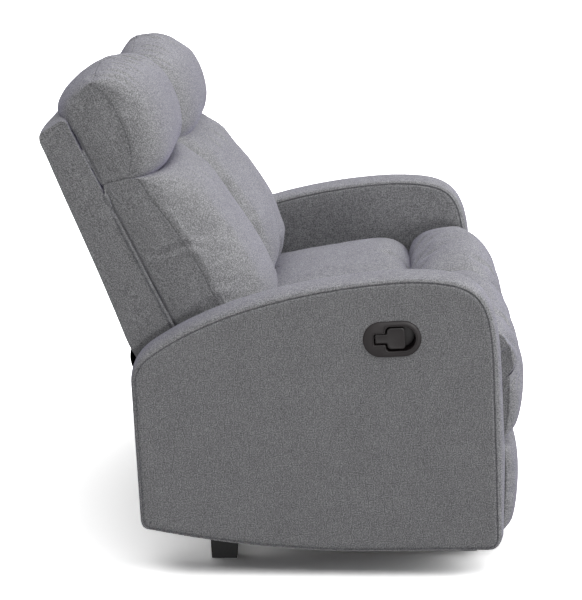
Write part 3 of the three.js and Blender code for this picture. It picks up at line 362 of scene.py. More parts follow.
def cover_cloth(tree, lean=0.0):
    """Melange cloth, with its weave turned to the lean of the piece that it covers."""
    look = bpy.context.scene.sofa_look
    where = node(tree, "TexCoord").outputs
    place = node(tree, "Mapping", {"Vector": where["Object"], "Rotation": (lean, 0, 0)})
    facing = node(tree, "Mapping", {"Vector": where["Normal"], "Rotation": (lean, 0, 0)},
                  vector_type="NORMAL")
    colour = node(tree, "ValToRGB", {"Fac": yarn_tone(tree, place, facing)})
    colour_stops(colour, (0, look.cloth_dark), (0.5, look.cloth), (1, look.cloth_light))
    fibres = node(tree, "TexNoise", {"Vector": place, "Scale": 1 / (FIBRE_SIZE * MM), "Detail": 2.0})
    height = node(tree, "Math", {0: fibres, 1: 0.7, 2: weave_height(tree, place, facing)},
                  operation="MULTIPLY_ADD")
    bump = node(tree, "Bump", {"Height": height, "Strength": 0.55, "Distance": 0.5 * MM})
    return node(tree, "BsdfPrincipled", {
        "Base Color": colour, "Roughness": 0.92, "IOR": 1.46, "Specular IOR Level": 0.2,
        "Sheen Weight": 0.3, "Sheen Roughness": 0.4, "Sheen Tint": srgb(look.nap), "Normal": bump})


def upright_cloth():
    return finish("woven melange cloth", cover_cloth)


def leaning_cloth():
    return finish("woven melange cloth, leaning", cover_cloth, bpy.context.scene.sofa_form.back_lean)


# Spun polyester sewing thread: dull, and darker than the cloth round it.
def seam_thread(tree):
    look = bpy.context.scene.sofa_look
    place = node(tree, "TexCoord").outputs["Object"]
    twist = node(tree, "TexNoise", {"Vector": place, "Scale": 1 / (0.9 * MM), "Detail": 1.0})
    colour = node(tree, "ValToRGB", {"Fac": twist})
    colour_stops(colour, (0, look.cloth_dark), (1, look.thread))
    return node(tree, "BsdfPrincipled", {"Base Color": colour, "Roughness": 0.7})


# Moulded ABS: black with a fine spark-eroded texture, so its highlights are soft but present.
def handle_plastic(tree):
    place = node(tree, "TexCoord").outputs["Object"]
    texture = node(tree, "TexNoise", {"Vector": place, "Scale": 1 / (0.6 * MM), "Detail": 2.0})
    wear = node(tree, "TexNoise", {"Vector": place, "Scale": 1 / (14 * MM), "Detail": 3.0})
    gloss = node(tree, "MapRange", {"Value": wear, "To Min": 0.3, "To Max": 0.42})
    bump = node(tree, "Bump", {"Height": texture, "Strength": 0.25, "Distance": 0.08 * MM})
    return node(tree, "BsdfPrincipled", {
        "Base Color": srgb(bpy.context.scene.sofa_look.plastic), "Roughness": gloss, "IOR": 1.53,
        "Specular IOR Level": 0.3, "Normal": bump})


# Powder-coated pressed steel: dark, half dull, with the coat's orange-peel and rubbed edges.
def mechanism_steel(tree):
    place = node(tree, "TexCoord").outputs["Object"]
    peel = node(tree, "TexNoise", {"Vector": place, "Scale": 1 / (1.8 * MM), "Detail": 2.0})
    rub = node(tree, "TexNoise", {"Vector": place, "Scale": 1 / (22 * MM), "Detail": 4.0})
    colour = node(tree, "ValToRGB", {"Fac": rub})
    colour_stops(colour, (0.45, bpy.context.scene.sofa_look.steel), (1, "#3A3B3F"))
    rough = node(tree, "MapRange", {"Value": rub, "To Min": 0.36, "To Max": 0.55})
    bump = node(tree, "Bump", {"Height": peel, "Strength": 0.3, "Distance": 0.1 * MM})
    return node(tree, "BsdfPrincipled", {
        "Base Color": colour, "Roughness": rough, "Metallic": 0.35, "Normal": bump})


# Poplar plywood, sawn and unfinished: long pale grain with darker pores.
def board_plywood(tree):
    place = node(tree, "TexCoord").outputs["Object"]
    grain_size = (1 / (140 * MM), 1 / (9 * MM), 1 / (9 * MM))
    along = node(tree, "Mapping", {"Vector": place, "Scale": grain_size})
    grain = node(tree, "TexNoise", {"Vector": along, "Scale": 1.0, "Detail": 5.0, "Distortion": 0.6})
    pores = node(tree, "TexNoise", {"Vector": along, "Scale": 7.0, "Detail": 2.0})
    colour = node(tree, "ValToRGB", {"Fac": grain})
    colour_stops(colour, (0.3, "#93703F"), (0.65, bpy.context.scene.sofa_look.board))
    bump = node(tree, "Bump", {"Height": pores, "Strength": 0.3, "Distance": 0.25 * MM})
    return node(tree, "BsdfPrincipled", {"Base Color": colour, "Roughness": 0.75, "Normal": bump})


# Spunbond lining: thin black non-woven cloth with a dimpled bond pattern.
def lining_cloth(tree):
    place = node(tree, "TexCoord").outputs["Object"]
    dimples = node(tree, "TexVoronoi", {"Vector": place, "Scale": 1 / (2.2 * MM)})
    bump = node(tree, "Bump", {"Height": dimples, "Strength": 0.5, "Distance": 0.2 * MM})
    return node(tree, "BsdfPrincipled", {
        "Base Color": srgb("#19191B"), "Roughness": 0.88, "Normal": bump})


# Moulded polypropylene feet: black, scuffed dull towards the floor.
def foot_plastic(tree):
    place = node(tree, "TexCoord").outputs["Object"]
    scuffs = node(tree, "TexNoise", {"Vector": place, "Scale": 1 / (5 * MM), "Detail": 4.0})
    rough = node(tree, "MapRange", {"Value": scuffs, "To Min": 0.42, "To Max": 0.7})
    bump = node(tree, "Bump", {"Height": scuffs, "Strength": 0.2, "Distance": 0.2 * MM})
    return node(tree, "BsdfPrincipled", {
        "Base Color": srgb("#1A1A1B"), "Roughness": rough, "Normal": bump})


# Matt floor paint. The camera sees it almost white, and the light that it throws back is duller.
def floor_paint(tree):
    look = bpy.context.scene.sofa_look
    white = node(tree, "BsdfDiffuse", {"Color": srgb(look.floor)})
    dull = node(tree, "BsdfDiffuse", {"Color": srgb(look.floor_bounce)})
    ray = node(tree, "LightPath").outputs
    pair = node(tree, "AddShader", {0: white, 1: white})
    bright = node(tree, "AddShader", {0: pair, 1: dull})
    thrown = node(tree, "MixShader", {0: ray["Is Glossy Ray"], 1: dull, 2: white})
    return node(tree, "MixShader", {0: ray["Is Camera Ray"], 1: thrown, 2: bright})


# Curves
def catmull(points, at):
    """A point of the closed smooth curve through points, spaced by the roots of their distances."""
    count = len(points)
    i = math.floor(at)
    a, b, c, d = (points[(i + k) % count] for k in (-1, 0, 1, 2))
    t0 = 0.0
    t1 = t0 + max((b - a).length, 1e-9) ** 0.5
    t2 = t1 + max((c - b).length, 1e-9) ** 0.5
    t3 = t2 + max((d - c).length, 1e-9) ** 0.5
    t = t1 + (t2 - t1) * (at - i)
    ab = a.lerp(b, (t - t0) / (t1 - t0))
    bc = b.lerp(c, (t - t1) / (t2 - t1))
    cd = c.lerp(d, (t - t2) / (t3 - t2))
    abc = ab.lerp(bc, (t - t0) / (t2 - t0))
    bcd = bc.lerp(cd, (t - t1) / (t3 - t1))
    return abc.lerp(bcd, (t - t1) / (t2 - t1))


def bezier(points, at):
    while len(points) > 1:
        points = [a.lerp(b, at) for a, b in zip(points, points[1:])]
    return points[0]


def arc(centre, radius, start, end, steps):
    turns = [math.radians(start + (end - start) * i / steps) for i in range(steps + 1)]
    return [Vector((centre[0] + radius * math.cos(a), centre[1] + radius * math.sin(a))) for a in turns]


def outward(points):
    """Unit directions away from the inside of a closed outline."""
    count = len(points)
    area = sum(points[i].cross(points[(i + 1) % count]) for i in range(count))
    turn = 1 if area > 0 else -1
    made = []
    for i in range(count):
        along = points[(i + 1) % count] - points[i - 1]
        made.append(Vector((along.y, -along.x)).normalized() * turn)
    return made


def leaning(out, up):
    """A place on the leaning back, in millimetres, as depth and height."""
    lean = bpy.context.scene.sofa_form.back_lean
    return Vector((BACK_FOOT.x - out * math.cos(lean) + up * math.sin(lean),
                   BACK_FOOT.y + out * math.sin(lean) + up * math.cos(lean)))


def standing(depth, height):
    return Vector((depth, height))


# Meshes
def begin_loop(bm, ring):
    verts = [bm.verts.new(place) for place in ring]
    edges = [bm.edges.new(pair) for pair in zip(verts, verts[1:] + verts[:1])]
    return verts, edges


def extrude_loop(bm, verts, edges, ring):
    """Extrudes a closed loop of edges, and moves the new loop to the places of ring."""
    made = bmesh.ops.extrude_edge_only(bm, edges=edges)["geom"]
    fresh = {item for item in made if isinstance(item, bmesh.types.BMVert)}
    moved = [next(e.other_vert(v) for e in v.link_edges if e.other_vert(v) in fresh) for v in verts]
    for vert, place in zip(moved, ring):
        vert.co = place
    return moved, [bm.edges.get(pair) for pair in zip(moved, moved[1:] + moved[:1])]


def loft(bm, rings):
    """A wall through rings that have the same number of points. Returns its two end loops."""
    first = begin_loop(bm, rings[0])
    last = first
    for ring in rings[1:]:
        last = extrude_loop(bm, *last, ring)
    return first, last


def fill_between(bm, edges):
    """Closes the space inside a loop of edges, or between two loops."""
    bmesh.ops.triangle_fill(bm, use_beauty=True, use_dissolve=False, edges=edges)


def link_mesh(bm, name, materials):
    """Makes a finished mesh an object of the scene."""
    mesh = bpy.data.meshes.new(name)
    bm.to_mesh(mesh)
    bm.free()
    for material in materials:
        mesh.materials.append(material)
    mesh.shade_smooth()
    made = bpy.data.objects.new(name, mesh)
    bpy.context.scene.collection.objects.link(made)
    return made


def to_object(bm, name, material):
    bmesh.ops.recalc_face_normals(bm, faces=bm.faces)
    return link_mesh(bm, name, [material])


def mirrored(source):
    """The same piece on the other side of the sofa."""
    bm = bmesh.new()
    bm.from_mesh(source.data)
    bmesh.ops.scale(bm, vec=(-1, 1, 1), verts=bm.verts)
    bmesh.ops.reverse_faces(bm, faces=bm.faces)
    return link_mesh(bm, source.name.replace("right", "left"), source.data.materials)


def reshape(made, change):
    """Moves each point of a piece to the place that change gives for it."""
    for vert in made.data.vertices:
        vert.co = change(vert.co)


def refine(made):
    """Applies a subdivision, so that the finished mesh is the one that moves."""
    modifier = made.modifiers.new("smooth", "SUBSURF")
    modifier.levels = modifier.render_levels = 1
    graph = bpy.context.evaluated_depsgraph_get()
    graph.update()
    mesh = bpy.data.meshes.new_from_object(made.evaluated_get(graph))
    made.modifiers.clear()
    made.data = mesh
    mesh.shade_smooth()


def search_tree(places):
    tree = KDTree(len(places))
    for i, place in enumerate(places):
        tree.insert(place, i)
    tree.balance()
    return tree


def carve(made, lines, depth, width):
    """Presses a groove of that depth and half width, in metres, along open lines of points."""
    tree = search_tree([place for line in lines for place in dense(line, closed=False)])
    normals = [v.normal.copy() for v in made.data.vertices]
    for vert, normal in zip(made.data.vertices, normals):
        _, _, distance = tree.find(vert.co)
        if distance < 3 * width:
            vert.co -= normal * depth * math.exp(-(distance / width) ** 2)


def dense(line, step=1.0 * MM, closed=True):
    """The same line with points no further apart than step."""
    made = []
    pairs = zip(line, line[1:] + line[:1]) if closed else zip(line, line[1:])
    for a, b in pairs:
        count = max(1, math.ceil((b - a).length / step))
        made += [a.lerp(b, i / count) for i in range(count)]
    return made


STITCH_LENGTH = 3.1
STITCH_RADIUS = 0.55
STITCH_LIFT = 0.25


def stitches(name, lines, body, near):
    """Short lengths of thread along sewn lines, laid on the surface of the piece that is near."""
    form = bpy.context.scene.sofa_form
    bm = bmesh.new()
    for line in lines:
        travelled = 0.0
        for a, b in zip(line, line[1:]):
            travelled += (b - a).length
            if travelled < form.stitch_pitch:
                continue
            travelled = 0.0
            found, place, normal, _ = near.closest_point_on_mesh(a)
            if not found:
                continue
            along = (b - a).normalized()
            turn = along.to_track_quat("Z", "Y").to_matrix().to_4x4()
            stand = Matrix.Translation(place + normal * STITCH_LIFT * MM)
            bmesh.ops.create_cone(
                bm, cap_ends=True, segments=6, radius1=STITCH_RADIUS * MM, radius2=STITCH_RADIUS * MM,
                depth=STITCH_LENGTH * MM, matrix=stand @ turn)
    made = to_object(bm, name, finish("spun polyester thread", seam_thread))
    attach(made, body)


# Each fold has a low ridge along both its sides: its height as a share of the fold's depth, and
# its distance from the fold in half widths.
RIDGE_HEIGHT = 0.55
RIDGE_DISTANCE = 1.7


def creases(made, folds):
    """Presses folds: each is a line of places, its depth and its half width, in millimetres."""
    bpy.context.view_layer.update()
    normals = [v.normal.copy() for v in made.data.vertices]
    for places, depth, width in folds:
        line = dense([place * MM for place in places], 2 * MM, closed=False)
        line = [made.closest_point_on_mesh(place)[1] for place in line]
        tree = search_tree(line)
        for vert, normal in zip(made.data.vertices, normals):
            _, at, distance = tree.find(vert.co)
            reach = distance / (width * MM)
            if reach < 3.5:
                fade = math.sin(math.pi * (at + 0.5) / len(line)) ** 0.6
                dip = math.exp(-reach ** 2) - RIDGE_HEIGHT * math.exp(-(reach - RIDGE_DISTANCE) ** 2)
                vert.co -= normal * depth * MM * dip * fade


def ripple(made, height, size, seed):
    """Gentle uneven swelling, so that no stretch of cloth is dead flat."""
    shift = Vector((seed * 3.1, seed * 1.7, seed * 5.3))
    moved = [v.co + v.normal * height * MM * noise.noise(v.co / (size * MM) + shift)
             for v in made.data.vertices]
    for vert, place in zip(made.data.vertices, moved):
        vert.co = place


# The cloth of a padded cover while it is filled, a little larger than the form that it is cut to
COVER_CLOTH = {
    "quality": 5, "mass": 0.3, "tension_stiffness": 15, "compression_stiffness": 15,
    "shear_stiffness": 8, "bending_stiffness": 2.0, "shrink_min": -0.025,
}
FILL_FRAMES = 20


def inflate(made, held, reach):
    """Fills a cover with air while the held points stay, then keeps each point within reach."""
    scene = bpy.context.scene
    made.vertex_groups.new(name="held").add(held, 1.0, "REPLACE")
    before = [v.co.copy() for v in made.data.vertices]
    modifier = made.modifiers.new("cloth", "CLOTH")
    cloth = modifier.settings
    for name, value in COVER_CLOTH.items():
        setattr(cloth, name, value)
    cloth.vertex_group_mass = "held"
    cloth.use_pressure = True
    cloth.uniform_pressure_force = scene.sofa_form.fill_pressure
    cloth.effector_weights.gravity = 0
    modifier.point_cache.frame_start, modifier.point_cache.frame_end = 1, FILL_FRAMES
    for number in range(1, FILL_FRAMES + 1):
        scene.frame_set(number)
    graph = bpy.context.evaluated_depsgraph_get()
    after = [v.co.copy() for v in made.evaluated_get(graph).data.vertices]
    made.modifiers.clear()
    made.vertex_groups.clear()
    scene.frame_set(1)
    for vert, old, new in zip(made.data.vertices, before, after):
        move = new - old
        if move.length > reach * MM:
            move *= reach * MM / move.length
        vert.co = old + move


def fill_out(made, ends, backed, reach):
    """Fills a cushion's cover. Its seams, its side panels and what backed tells of stay in place."""
    low, high = (ends[0] + 3) * MM, (ends[1] - 3) * MM
    held = [v.index for v in made.data.vertices if not low < v.co.x < high or backed(v.co)]
    inflate(made, held, reach)
    refine(made)


# Mesh lines near a side seam and near a seam across, as distances from it in millimetres
SEAM_NEAR = (0, 0.8, 1.8, 3.6, 6.5, 11)
MARK_NEAR = (2.5, 6)
MARK_CLEAR = 9
# Side panels: the width over which one rises, the shares of its inner rings, where its dome
# levels out, and how little of the puff the panel towards the sofa's middle has
PANEL_HALF = 70
PANEL_SHARES = (0.15, 0.3, 0.45, 0.6, 0.75, 0.9)
PANEL_LEVEL = 0.8
INNER_PUFF = 0.3


def rising(value, start, end):
    """From 0 at start to 1 at end, with no kink."""
    share = min(1, max(0, (value - start) / (end - start)))
    return share * share * (3 - 2 * share)


def section_rings(rows, to_place, power, sharpness, marks, settled, half):
    """Side outlines of a cushion from its right seam to its left one, and its side seam."""
    form = bpy.context.scene.sofa_form
    step = form.mesh_step / MM
    seam = [Vector(row[:2]) for row in rows]
    crown = [Vector(row[2:]) for row in rows]
    count = len(rows)
    places = []
    for i in range(count):
        chord = max((line[(i + 1) % count] - line[i]).length for line in (seam, crown))
        parts = max(1, round(chord / step))
        places += [i + k / parts for k in range(parts)]
    for mark in marks:
        before = (crown[mark] - crown[mark - 1]).length
        after = (crown[(mark + 1) % count] - crown[mark]).length
        places = [p for p in places if not mark - MARK_CLEAR / before < p < mark + MARK_CLEAR / after]
        places += [mark - gap / before for gap in MARK_NEAR] + [mark]
        places += [mark + gap / after for gap in MARK_NEAR]
    places.sort()
    seam_loop = [catmull(seam, p) for p in places]
    crown_loop = [catmull(crown, p) for p in places]
    near = [1 - gap / half for gap in SEAM_NEAR]
    inner = round(2 * near[-1] * half / step)
    between = [near[-1] * (1 - 2 * i / inner) for i in range(1, inner)]
    shares = near + between + [-share for share in reversed(near)]
    rings = []
    for share in shares:
        lift = (1 - abs(share) ** power) ** sharpness
        ring = [a.lerp(b, lift) for a, b in zip(seam_loop, crown_loop)]
        if settled:
            ring = [settled(place, -share) for place in ring]
        rings.append((share, [to_place(*place) for place in ring]))
    return rings, places


def middle_line(loop):
    """For each point of a long closed loop, the near point of the line along its middle."""
    size = [max(p[i] for p in loop) - min(p[i] for p in loop) for i in (0, 1)]
    along = 0 if size[0] > size[1] else 1
    low, high = min(p[along] for p in loop), max(p[along] for p in loop)
    end = min(size) / 2
    made = []
    for place in loop:
        at = min(high - end, max(low + end, place[along]))
        cut = [a[1 - along] + (b[1 - along] - a[1 - along]) * (at - a[along]) / (b[along] - a[along])
               for a, b in zip(loop, loop[1:] + loop[:1]) if (a[along] > at) != (b[along] > at)]
        across = (min(cut) + max(cut)) / 2
        made.append(Vector((at, across)) if along == 0 else Vector((across, at)))
    return made


def cushion(name, rows, to_place, material, power, sharpness, puff, marks=(), settled=None,
            sewn=None, ends=ENDS):
    """One closed cushion on the sitter's right seat, with its side seams and the seams across it."""
    form = bpy.context.scene.sofa_form
    centre, half = (ends[0] + ends[1]) / 2, (ends[1] - ends[0]) / 2
    rings, places = section_rings(rows, to_place, power, sharpness, marks, settled, half)
    solid = [[Vector((centre - share * half, *place)) * MM for place in ring] for share, ring in rings]
    bm = bmesh.new()
    loops = loft(bm, solid)
    for (verts, edges), side, (_, seam) in zip(loops, (-1, 1), (rings[0], rings[-1])):
        swell = form.side_puff / MM * (puff if side < 0 else min(INNER_PUFF, puff))
        inward = [-n for n in outward(seam)]
        rim = [p + n * SEAM_NEAR[-1] for p, n in zip(seam, inward)]
        spine = middle_line(rim)
        panel = [(inset / PANEL_HALF, [p + n * inset for p, n in zip(seam, inward)])
                 for inset in SEAM_NEAR[1:]]
        start = SEAM_NEAR[-1] / PANEL_HALF
        panel += [(start + (1 - start) * share, [a.lerp(b, share) for a, b in zip(rim, spine)])
                  for share in PANEL_SHARES]
        for reach, ring in panel:
            x = centre + side * (half + swell * rising(reach, 0, PANEL_LEVEL))
            verts, edges = extrude_loop(bm, verts, edges, [Vector((x, *place)) * MM for place in ring])
        fill_between(bm, edges)
    made = to_object(bm, name, material)
    if sewn:
        picked = [i for i, at in enumerate(places) if sewn[0] <= at <= sewn[1]]
        seams = [[ring[i] for i in picked] for ring in (solid[0], solid[-1])]
    else:
        seams = [dense(solid[0]), dense(solid[-1])]
    across = [[ring[places.index(mark)] for ring in solid] for mark in marks]
    return made, seams, across


def both_sides(made, node_name, body, seams=(), stitching=None,
               sagged=None):
    """Makes the mirrored twin of a finished right-hand piece, hides the nodes that the two stand in for,
    and gives them their bodies and stitches.
    """
    twin = mirrored(made)
    if sagged:
        reshape(twin, sagged)
    for piece, hand in ((made, "right"), (twin, "left")):
        carrier = "base" if body == "base" else f"{hand}_{body}"
        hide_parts(f"{hand}_{node_name}")
        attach(piece, carrier)
        turn = Vector((1 if hand == "right" else -1, 1, 1))
        lines = [[place * turn for place in line] for line in seams]
        if sagged and hand == "left":
            lines = [[sagged(place) for place in line] for line in lines]
        if lines:
            sewn = f"{hand}_{stitching}" if stitching else piece.name
            stitches(sewn + "_stitching", lines, carrier, piece)


def seat_piece(part, rows, body, power, sharpness, seed, backed, reach=9, tucked=None,
               ends=ENDS, puff=1.0):
    """A cushion of the seat or footrest, whose section stands upright."""
    form = bpy.context.scene.sofa_form
    made, seams, _ = cushion(f"right_{part}_cover", rows, standing, upright_cloth(), power, sharpness,
                             puff, ends=ends)
    fill_out(made, ends, backed, reach)
    ripple(made, 1.2, 70, seed)
    carve(made, seams, form.seam_depth, form.seam_width)
    if tucked:
        reshape(made, tucked)
        seams = [[tucked(place) for place in line] for line in seams]
    both_sides(made, part, body, seams=seams)


# The roll's cloth folds in under itself at each end, above the footrest. The fold lies below a
# line that starts at a depth and height and falls towards the rear.
FOLD_DEPTH = 15
FOLD_REACH = 28
FOLD_START = Vector((-421, 428))
FOLD_FALL = 0.75
FOLD_REAR = -405
FOLD_FRONT = -418


def folded_in(place):
    """A place on the front roll, drawn towards the seat's middle where it is below its end fold."""
    y, z = place.y / MM, place.z / MM
    if y > FOLD_REAR:
        return place
    line = FOLD_START.y - FOLD_FALL * (y - FOLD_START.x)
    below = rising(line - z, -2, 6) * rising(y, FOLD_REAR, FOLD_FRONT)
    end = place.x / MM + SEAT_CENTRE
    near = max(0, 1 - (SEAT_HALF - abs(end)) / FOLD_REACH)
    moved = place.copy()
    moved.x -= math.copysign(FOLD_DEPTH * below * near, end) * MM
    return moved


class SOFA_OT_seats(bpy.types.Operator):
    """Makes the seat cushions and the rolls in front of them"""

    bl_idname = "sofa.seats"
    bl_label = "Seat cushions and front rolls"

    def execute(self, context):
        seat_piece("seat_cushion", SEAT_SECTION, "seat", 2.8, 0.8, 1,
                   lambda p: p.z < 345 * MM or p.y > 90 * MM)
        seat_piece("front_roll", ROLL_SECTION, "seat", 2.8, 0.8, 2,
                   lambda p: p.z < 345 * MM or p.y + p.z < -60 * MM, tucked=folded_in)
        return {"FINISHED"}


class SOFA_OT_footrests(bpy.types.Operator):
    """Makes the two padded panels of each footrest"""

    bl_idname = "sofa.footrests"
    bl_label = "Footrest pads"

    def execute(self, context):
        ends = (ENDS[0] + FOLD_DEPTH, ENDS[1])
        seat_piece("upper_pad", UPPER_PAD_SECTION, "upper_rest", 2.2, 0.5, 3,
                   lambda p: p.y > -416 * MM or p.y + p.z > -80 * MM, reach=6, ends=ends, puff=0.3)
        seat_piece("lower_pad", LOWER_PAD_SECTION, "lower_rest", 2.2, 0.5, 4,
                   lambda p: p.y > -416 * MM, reach=6, ends=ends, puff=0.3)
        return {"FINISHED"}


def up_lean(place):
    """How far a place is out from the back frame's face, and how far up it, in millimetres."""
    lean = bpy.context.scene.sofa_form.back_lean
    y, z = place.y / MM - BACK_FOOT.x, place.z / MM - BACK_FOOT.y
    return (-y * math.cos(lean) + z * math.sin(lean), y * math.sin(lean) + z * math.cos(lean))


def on_back(x, out, up):
    return Vector((x, *leaning(out, up)))


JOINT_DEPTH = 5
JOINT_WIDTH = 4


def carve_joint(made, ends, out, low, high):
    """Presses a groove up a back piece's two sides where it meets the back frame or the piece on it."""
    lines = [[on_back(x, out, up) * MM for up in (low, high)] for x in ends]
    carve(made, lines, JOINT_DEPTH * MM, JOINT_WIDTH * MM)


def back_settled(place, inner):
    """The back cushion is a little flatter towards the middle of the sofa."""
    inner = max(0, inner)
    return place - Vector((34 * inner * (1 - inner) * rising(place.x, 90, 150), 0))


def far_back_sagged(place):
    """The left back cushion is fuller half way up."""
    out, up = up_lean(place)
    out += 6 * rising(out, 100, 160) * rising(up, 20, 90) * rising(up, 240, 170)
    return on_back(place.x / MM, out, up) * MM


class SOFA_OT_back_cushions(bpy.types.Operator):
    """Makes the back cushions"""

    bl_idname = "sofa.back_cushions"
    bl_label = "Back cushions"

    def execute(self, context):
        form = context.scene.sofa_form
        ends = (ENDS[0] + 4, ENDS[1])
        made, seams, _ = cushion(
            "right_back_cushion_cover", BACK_PAD_SECTION, leaning, leaning_cloth(), power=3.2,
            sharpness=0.5, puff=0.8, settled=back_settled, sewn=(1, 10.4), ends=ends)
        fill_out(made, ends, lambda p: up_lean(p)[0] < 6 or up_lean(p)[1] > 300, 10)
        ripple(made, 1.6, 80, 5)
        creases(made, [([on_back(edge + turn * inwards, out, up) for inwards, out, up in places],
                        depth, width)
                       for edge, turn in zip(ends, (1, -1)) for places, depth, width in BACK_FOLDS])
        carve(made, seams, form.seam_depth, form.seam_width)
        carve_joint(made, ends, 1, -30, 345)
        both_sides(made, "back_cushion", "back", seams=seams, sagged=far_back_sagged)
        return {"FINISHED"}


def head_settled(place, inner):
    """The head cushion's top sinks towards the middle of the sofa."""
    return place - Vector((0, 26 * max(0, inner) * rising(place.y, 380, 530)))


def far_head_sagged(place):
    """The left head cushion has slumped forwards and down."""
    out, up = up_lean(place)
    outer = max(0, (place.x / MM - SEAT_CENTRE) / SEAT_HALF)
    front = rising(out, 0, 60)
    top = rising(up, 380, 530)
    down = (22 * outer + 26 * rising(out, 85, 15)) * top + 17 * max(front, rising(up, 400, 490))
    forward = 17 * front * (1 - 0.45 * rising(up, 480, 520))
    return on_back(place.x / MM, out + forward, up - down) * MM


def gather(share, length):
    """The line of a gather, from the head cushion's top seam down its front."""
    x = -SEAT_CENTRE + share * SEAT_HALF
    top = 562 - 20 * abs(share) ** 3 - 24 * max(0, share)
    return [on_back(x, out, up)
            for out, up in ((94, top), (126, top - 8), (150, top - 20 - length * 0.3))]


class SOFA_OT_head_cushions(bpy.types.Operator):
    """Makes the head cushions"""

    bl_idname = "sofa.head_cushions"
    bl_label = "Head cushions"

    def execute(self, context):
        form = context.scene.sofa_form
        ends = (ENDS[0] + 7, ENDS[1])
        made, seams, across = cushion(
            "right_head_cushion_cover", HEAD_PAD_SECTION, leaning, leaning_cloth(), power=3.2,
            sharpness=0.5, puff=1.3, marks=(HEAD_SEAM_ROW,), settled=head_settled,
            sewn=(HEAD_SEAM_ROW, 16.1), ends=ends)
        fill_out(made, ends, lambda p: up_lean(p)[0] < 6, 10)
        ripple(made, 1.6, 80, 6)
        creases(made, [(gather(share, length), depth, width)
                       for share, length, depth, width in HEAD_GATHERS])
        carve(made, seams, form.seam_depth, form.seam_width)
        carve(made, across, form.seam_depth * 1.4, form.seam_width * 1.3)
        carve_joint(made, ends, 4, 375, 480)
        both_sides(made, "head_cushion", "back", seams=seams + across,
                   sagged=far_head_sagged)
        return {"FINISHED"}


class SOFA_OT_backs(bpy.types.Operator):
    """Makes the upholstered shells of the backs and the lining below them"""

    bl_idname = "sofa.backs"
    bl_label = "Back shells and linings"

    def execute(self, context):
        form = context.scene.sofa_form
        made, seams, _ = cushion(
            "right_back_shell_cover", BACK_SHELL_SECTION, leaning, leaning_cloth(), power=6,
            sharpness=0.8, puff=0.4)
        refine(made)
        ripple(made, 0.9, 120, 7)
        carve(made, seams, form.seam_depth * 0.4, form.seam_width)
        carve_joint(made, ENDS, -1, -30, 352)
        both_sides(made, "back_frame", "back")
        for hand in ("right", "left"):
            self.lining(hand)
        return {"FINISHED"}

    def lining(self, hand):
        """The black sheet, a little slack, that closes the back below its panel."""
        low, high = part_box(f"{hand}_back_lining")
        width = high.x - low.x - 2 * LINING_MARGIN * MM
        controls = [leaning(out, up) for out, up in LINING_CURVE]
        profile = [bezier(controls, i / 14) * MM for i in range(15)]
        bm = bmesh.new()
        verts = [bm.verts.new((low.x + LINING_MARGIN * MM, *place)) for place in profile]
        edges = [bm.edges.new(pair) for pair in zip(verts, verts[1:])]
        steps = 40
        for _ in range(steps):
            made = bmesh.ops.extrude_edge_only(bm, edges=edges)["geom"]
            fresh = [item for item in made if isinstance(item, bmesh.types.BMVert)]
            bmesh.ops.translate(bm, verts=fresh, vec=(width / steps, 0, 0))
            edges = [e for e in made if isinstance(e, bmesh.types.BMEdge)
                     and all(v in fresh for v in e.verts)]
        sheet = to_object(bm, f"{hand}_lining_sheet", finish("black spunbond lining", lining_cloth))
        ripple(sheet, 1.6, 45, 8)
        sheet.modifiers.new("thickness", "SOLIDIFY").thickness = LINING_THICKNESS * MM
        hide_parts(f"{hand}_back_lining")
        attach(sheet, f"{hand}_back")


def arm_outline():
    """The arm's seam line in millimetres, and the share of the band's crown at each point."""
    points, shares = [], []
    for curve, steps, (start, end) in ARM_SHARES:
        controls = [Vector((ARM_FRONT + a * ARM_LENGTH, b * ARM_HEIGHT)) for a, b in curve]
        for i in range(steps):
            points.append(bezier(controls, i / steps))
            shares.append(start + (end - start) * i / steps)
    return points, shares


def band_rise(share, weight, crown):
    """How far the band stands out in millimetres, at that share of the arm's thickness."""
    dome = (1 - abs(2 * share - 1) ** BAND_ROUNDNESS) ** 0.75
    return BAND_LIFT * min(1, weight * 2) + weight * crown * dome


class SOFA_OT_arms(bpy.types.Operator):
    """Makes the two upholstered arms"""

    bl_idname = "sofa.arms"
    bl_label = "Arms"

    def execute(self, context):
        crown = context.scene.sofa_form.band_crown / MM
        points, weights = arm_outline()
        normals = outward(points)
        half = [(share * ARM_THICKNESS, [out] * len(points)) for share, out in ARM_EDGE]
        half += [(share * ARM_THICKNESS, [band_rise(share, weight, crown) for weight in weights])
                 for share in BAND_SHARES]
        profile = half + [(ARM_THICKNESS - x, outs) for x, outs in reversed(half[:-1])]
        rings = [[Vector((-ARM_FACE + x, *(p + n * out))) * MM
                  for p, n, out in zip(points, normals, outs)] for x, outs in profile]
        bm = bmesh.new()
        (_, outside), (_, inside) = loft(bm, rings)
        fill_between(bm, inside)
        face = -ARM_EDGE[0][0] * ARM_THICKNESS
        _, rim = begin_loop(bm, handle_ring(stadium(-BEZEL_LAP), face))
        fill_between(bm, outside + rim)
        pocket = keyhole(CUP_WALL + POCKET_ROOM)
        mouth, lip = begin_loop(bm, handle_ring(pocket, face))
        fill_between(bm, rim + lip)
        _, floor = extrude_loop(bm, mouth, lip, handle_ring(pocket, face - CUP_DEPTH - POCKET_ROOM))
        fill_between(bm, floor)
        made = to_object(bm, "right_arm_cover", upright_cloth())
        groove = ARM_EDGE.index(max(ARM_EDGE))
        both_sides(made, "arm", "base", seams=[rings[groove], rings[-1 - groove]], stitching="arm")
        return {"FINISHED"}


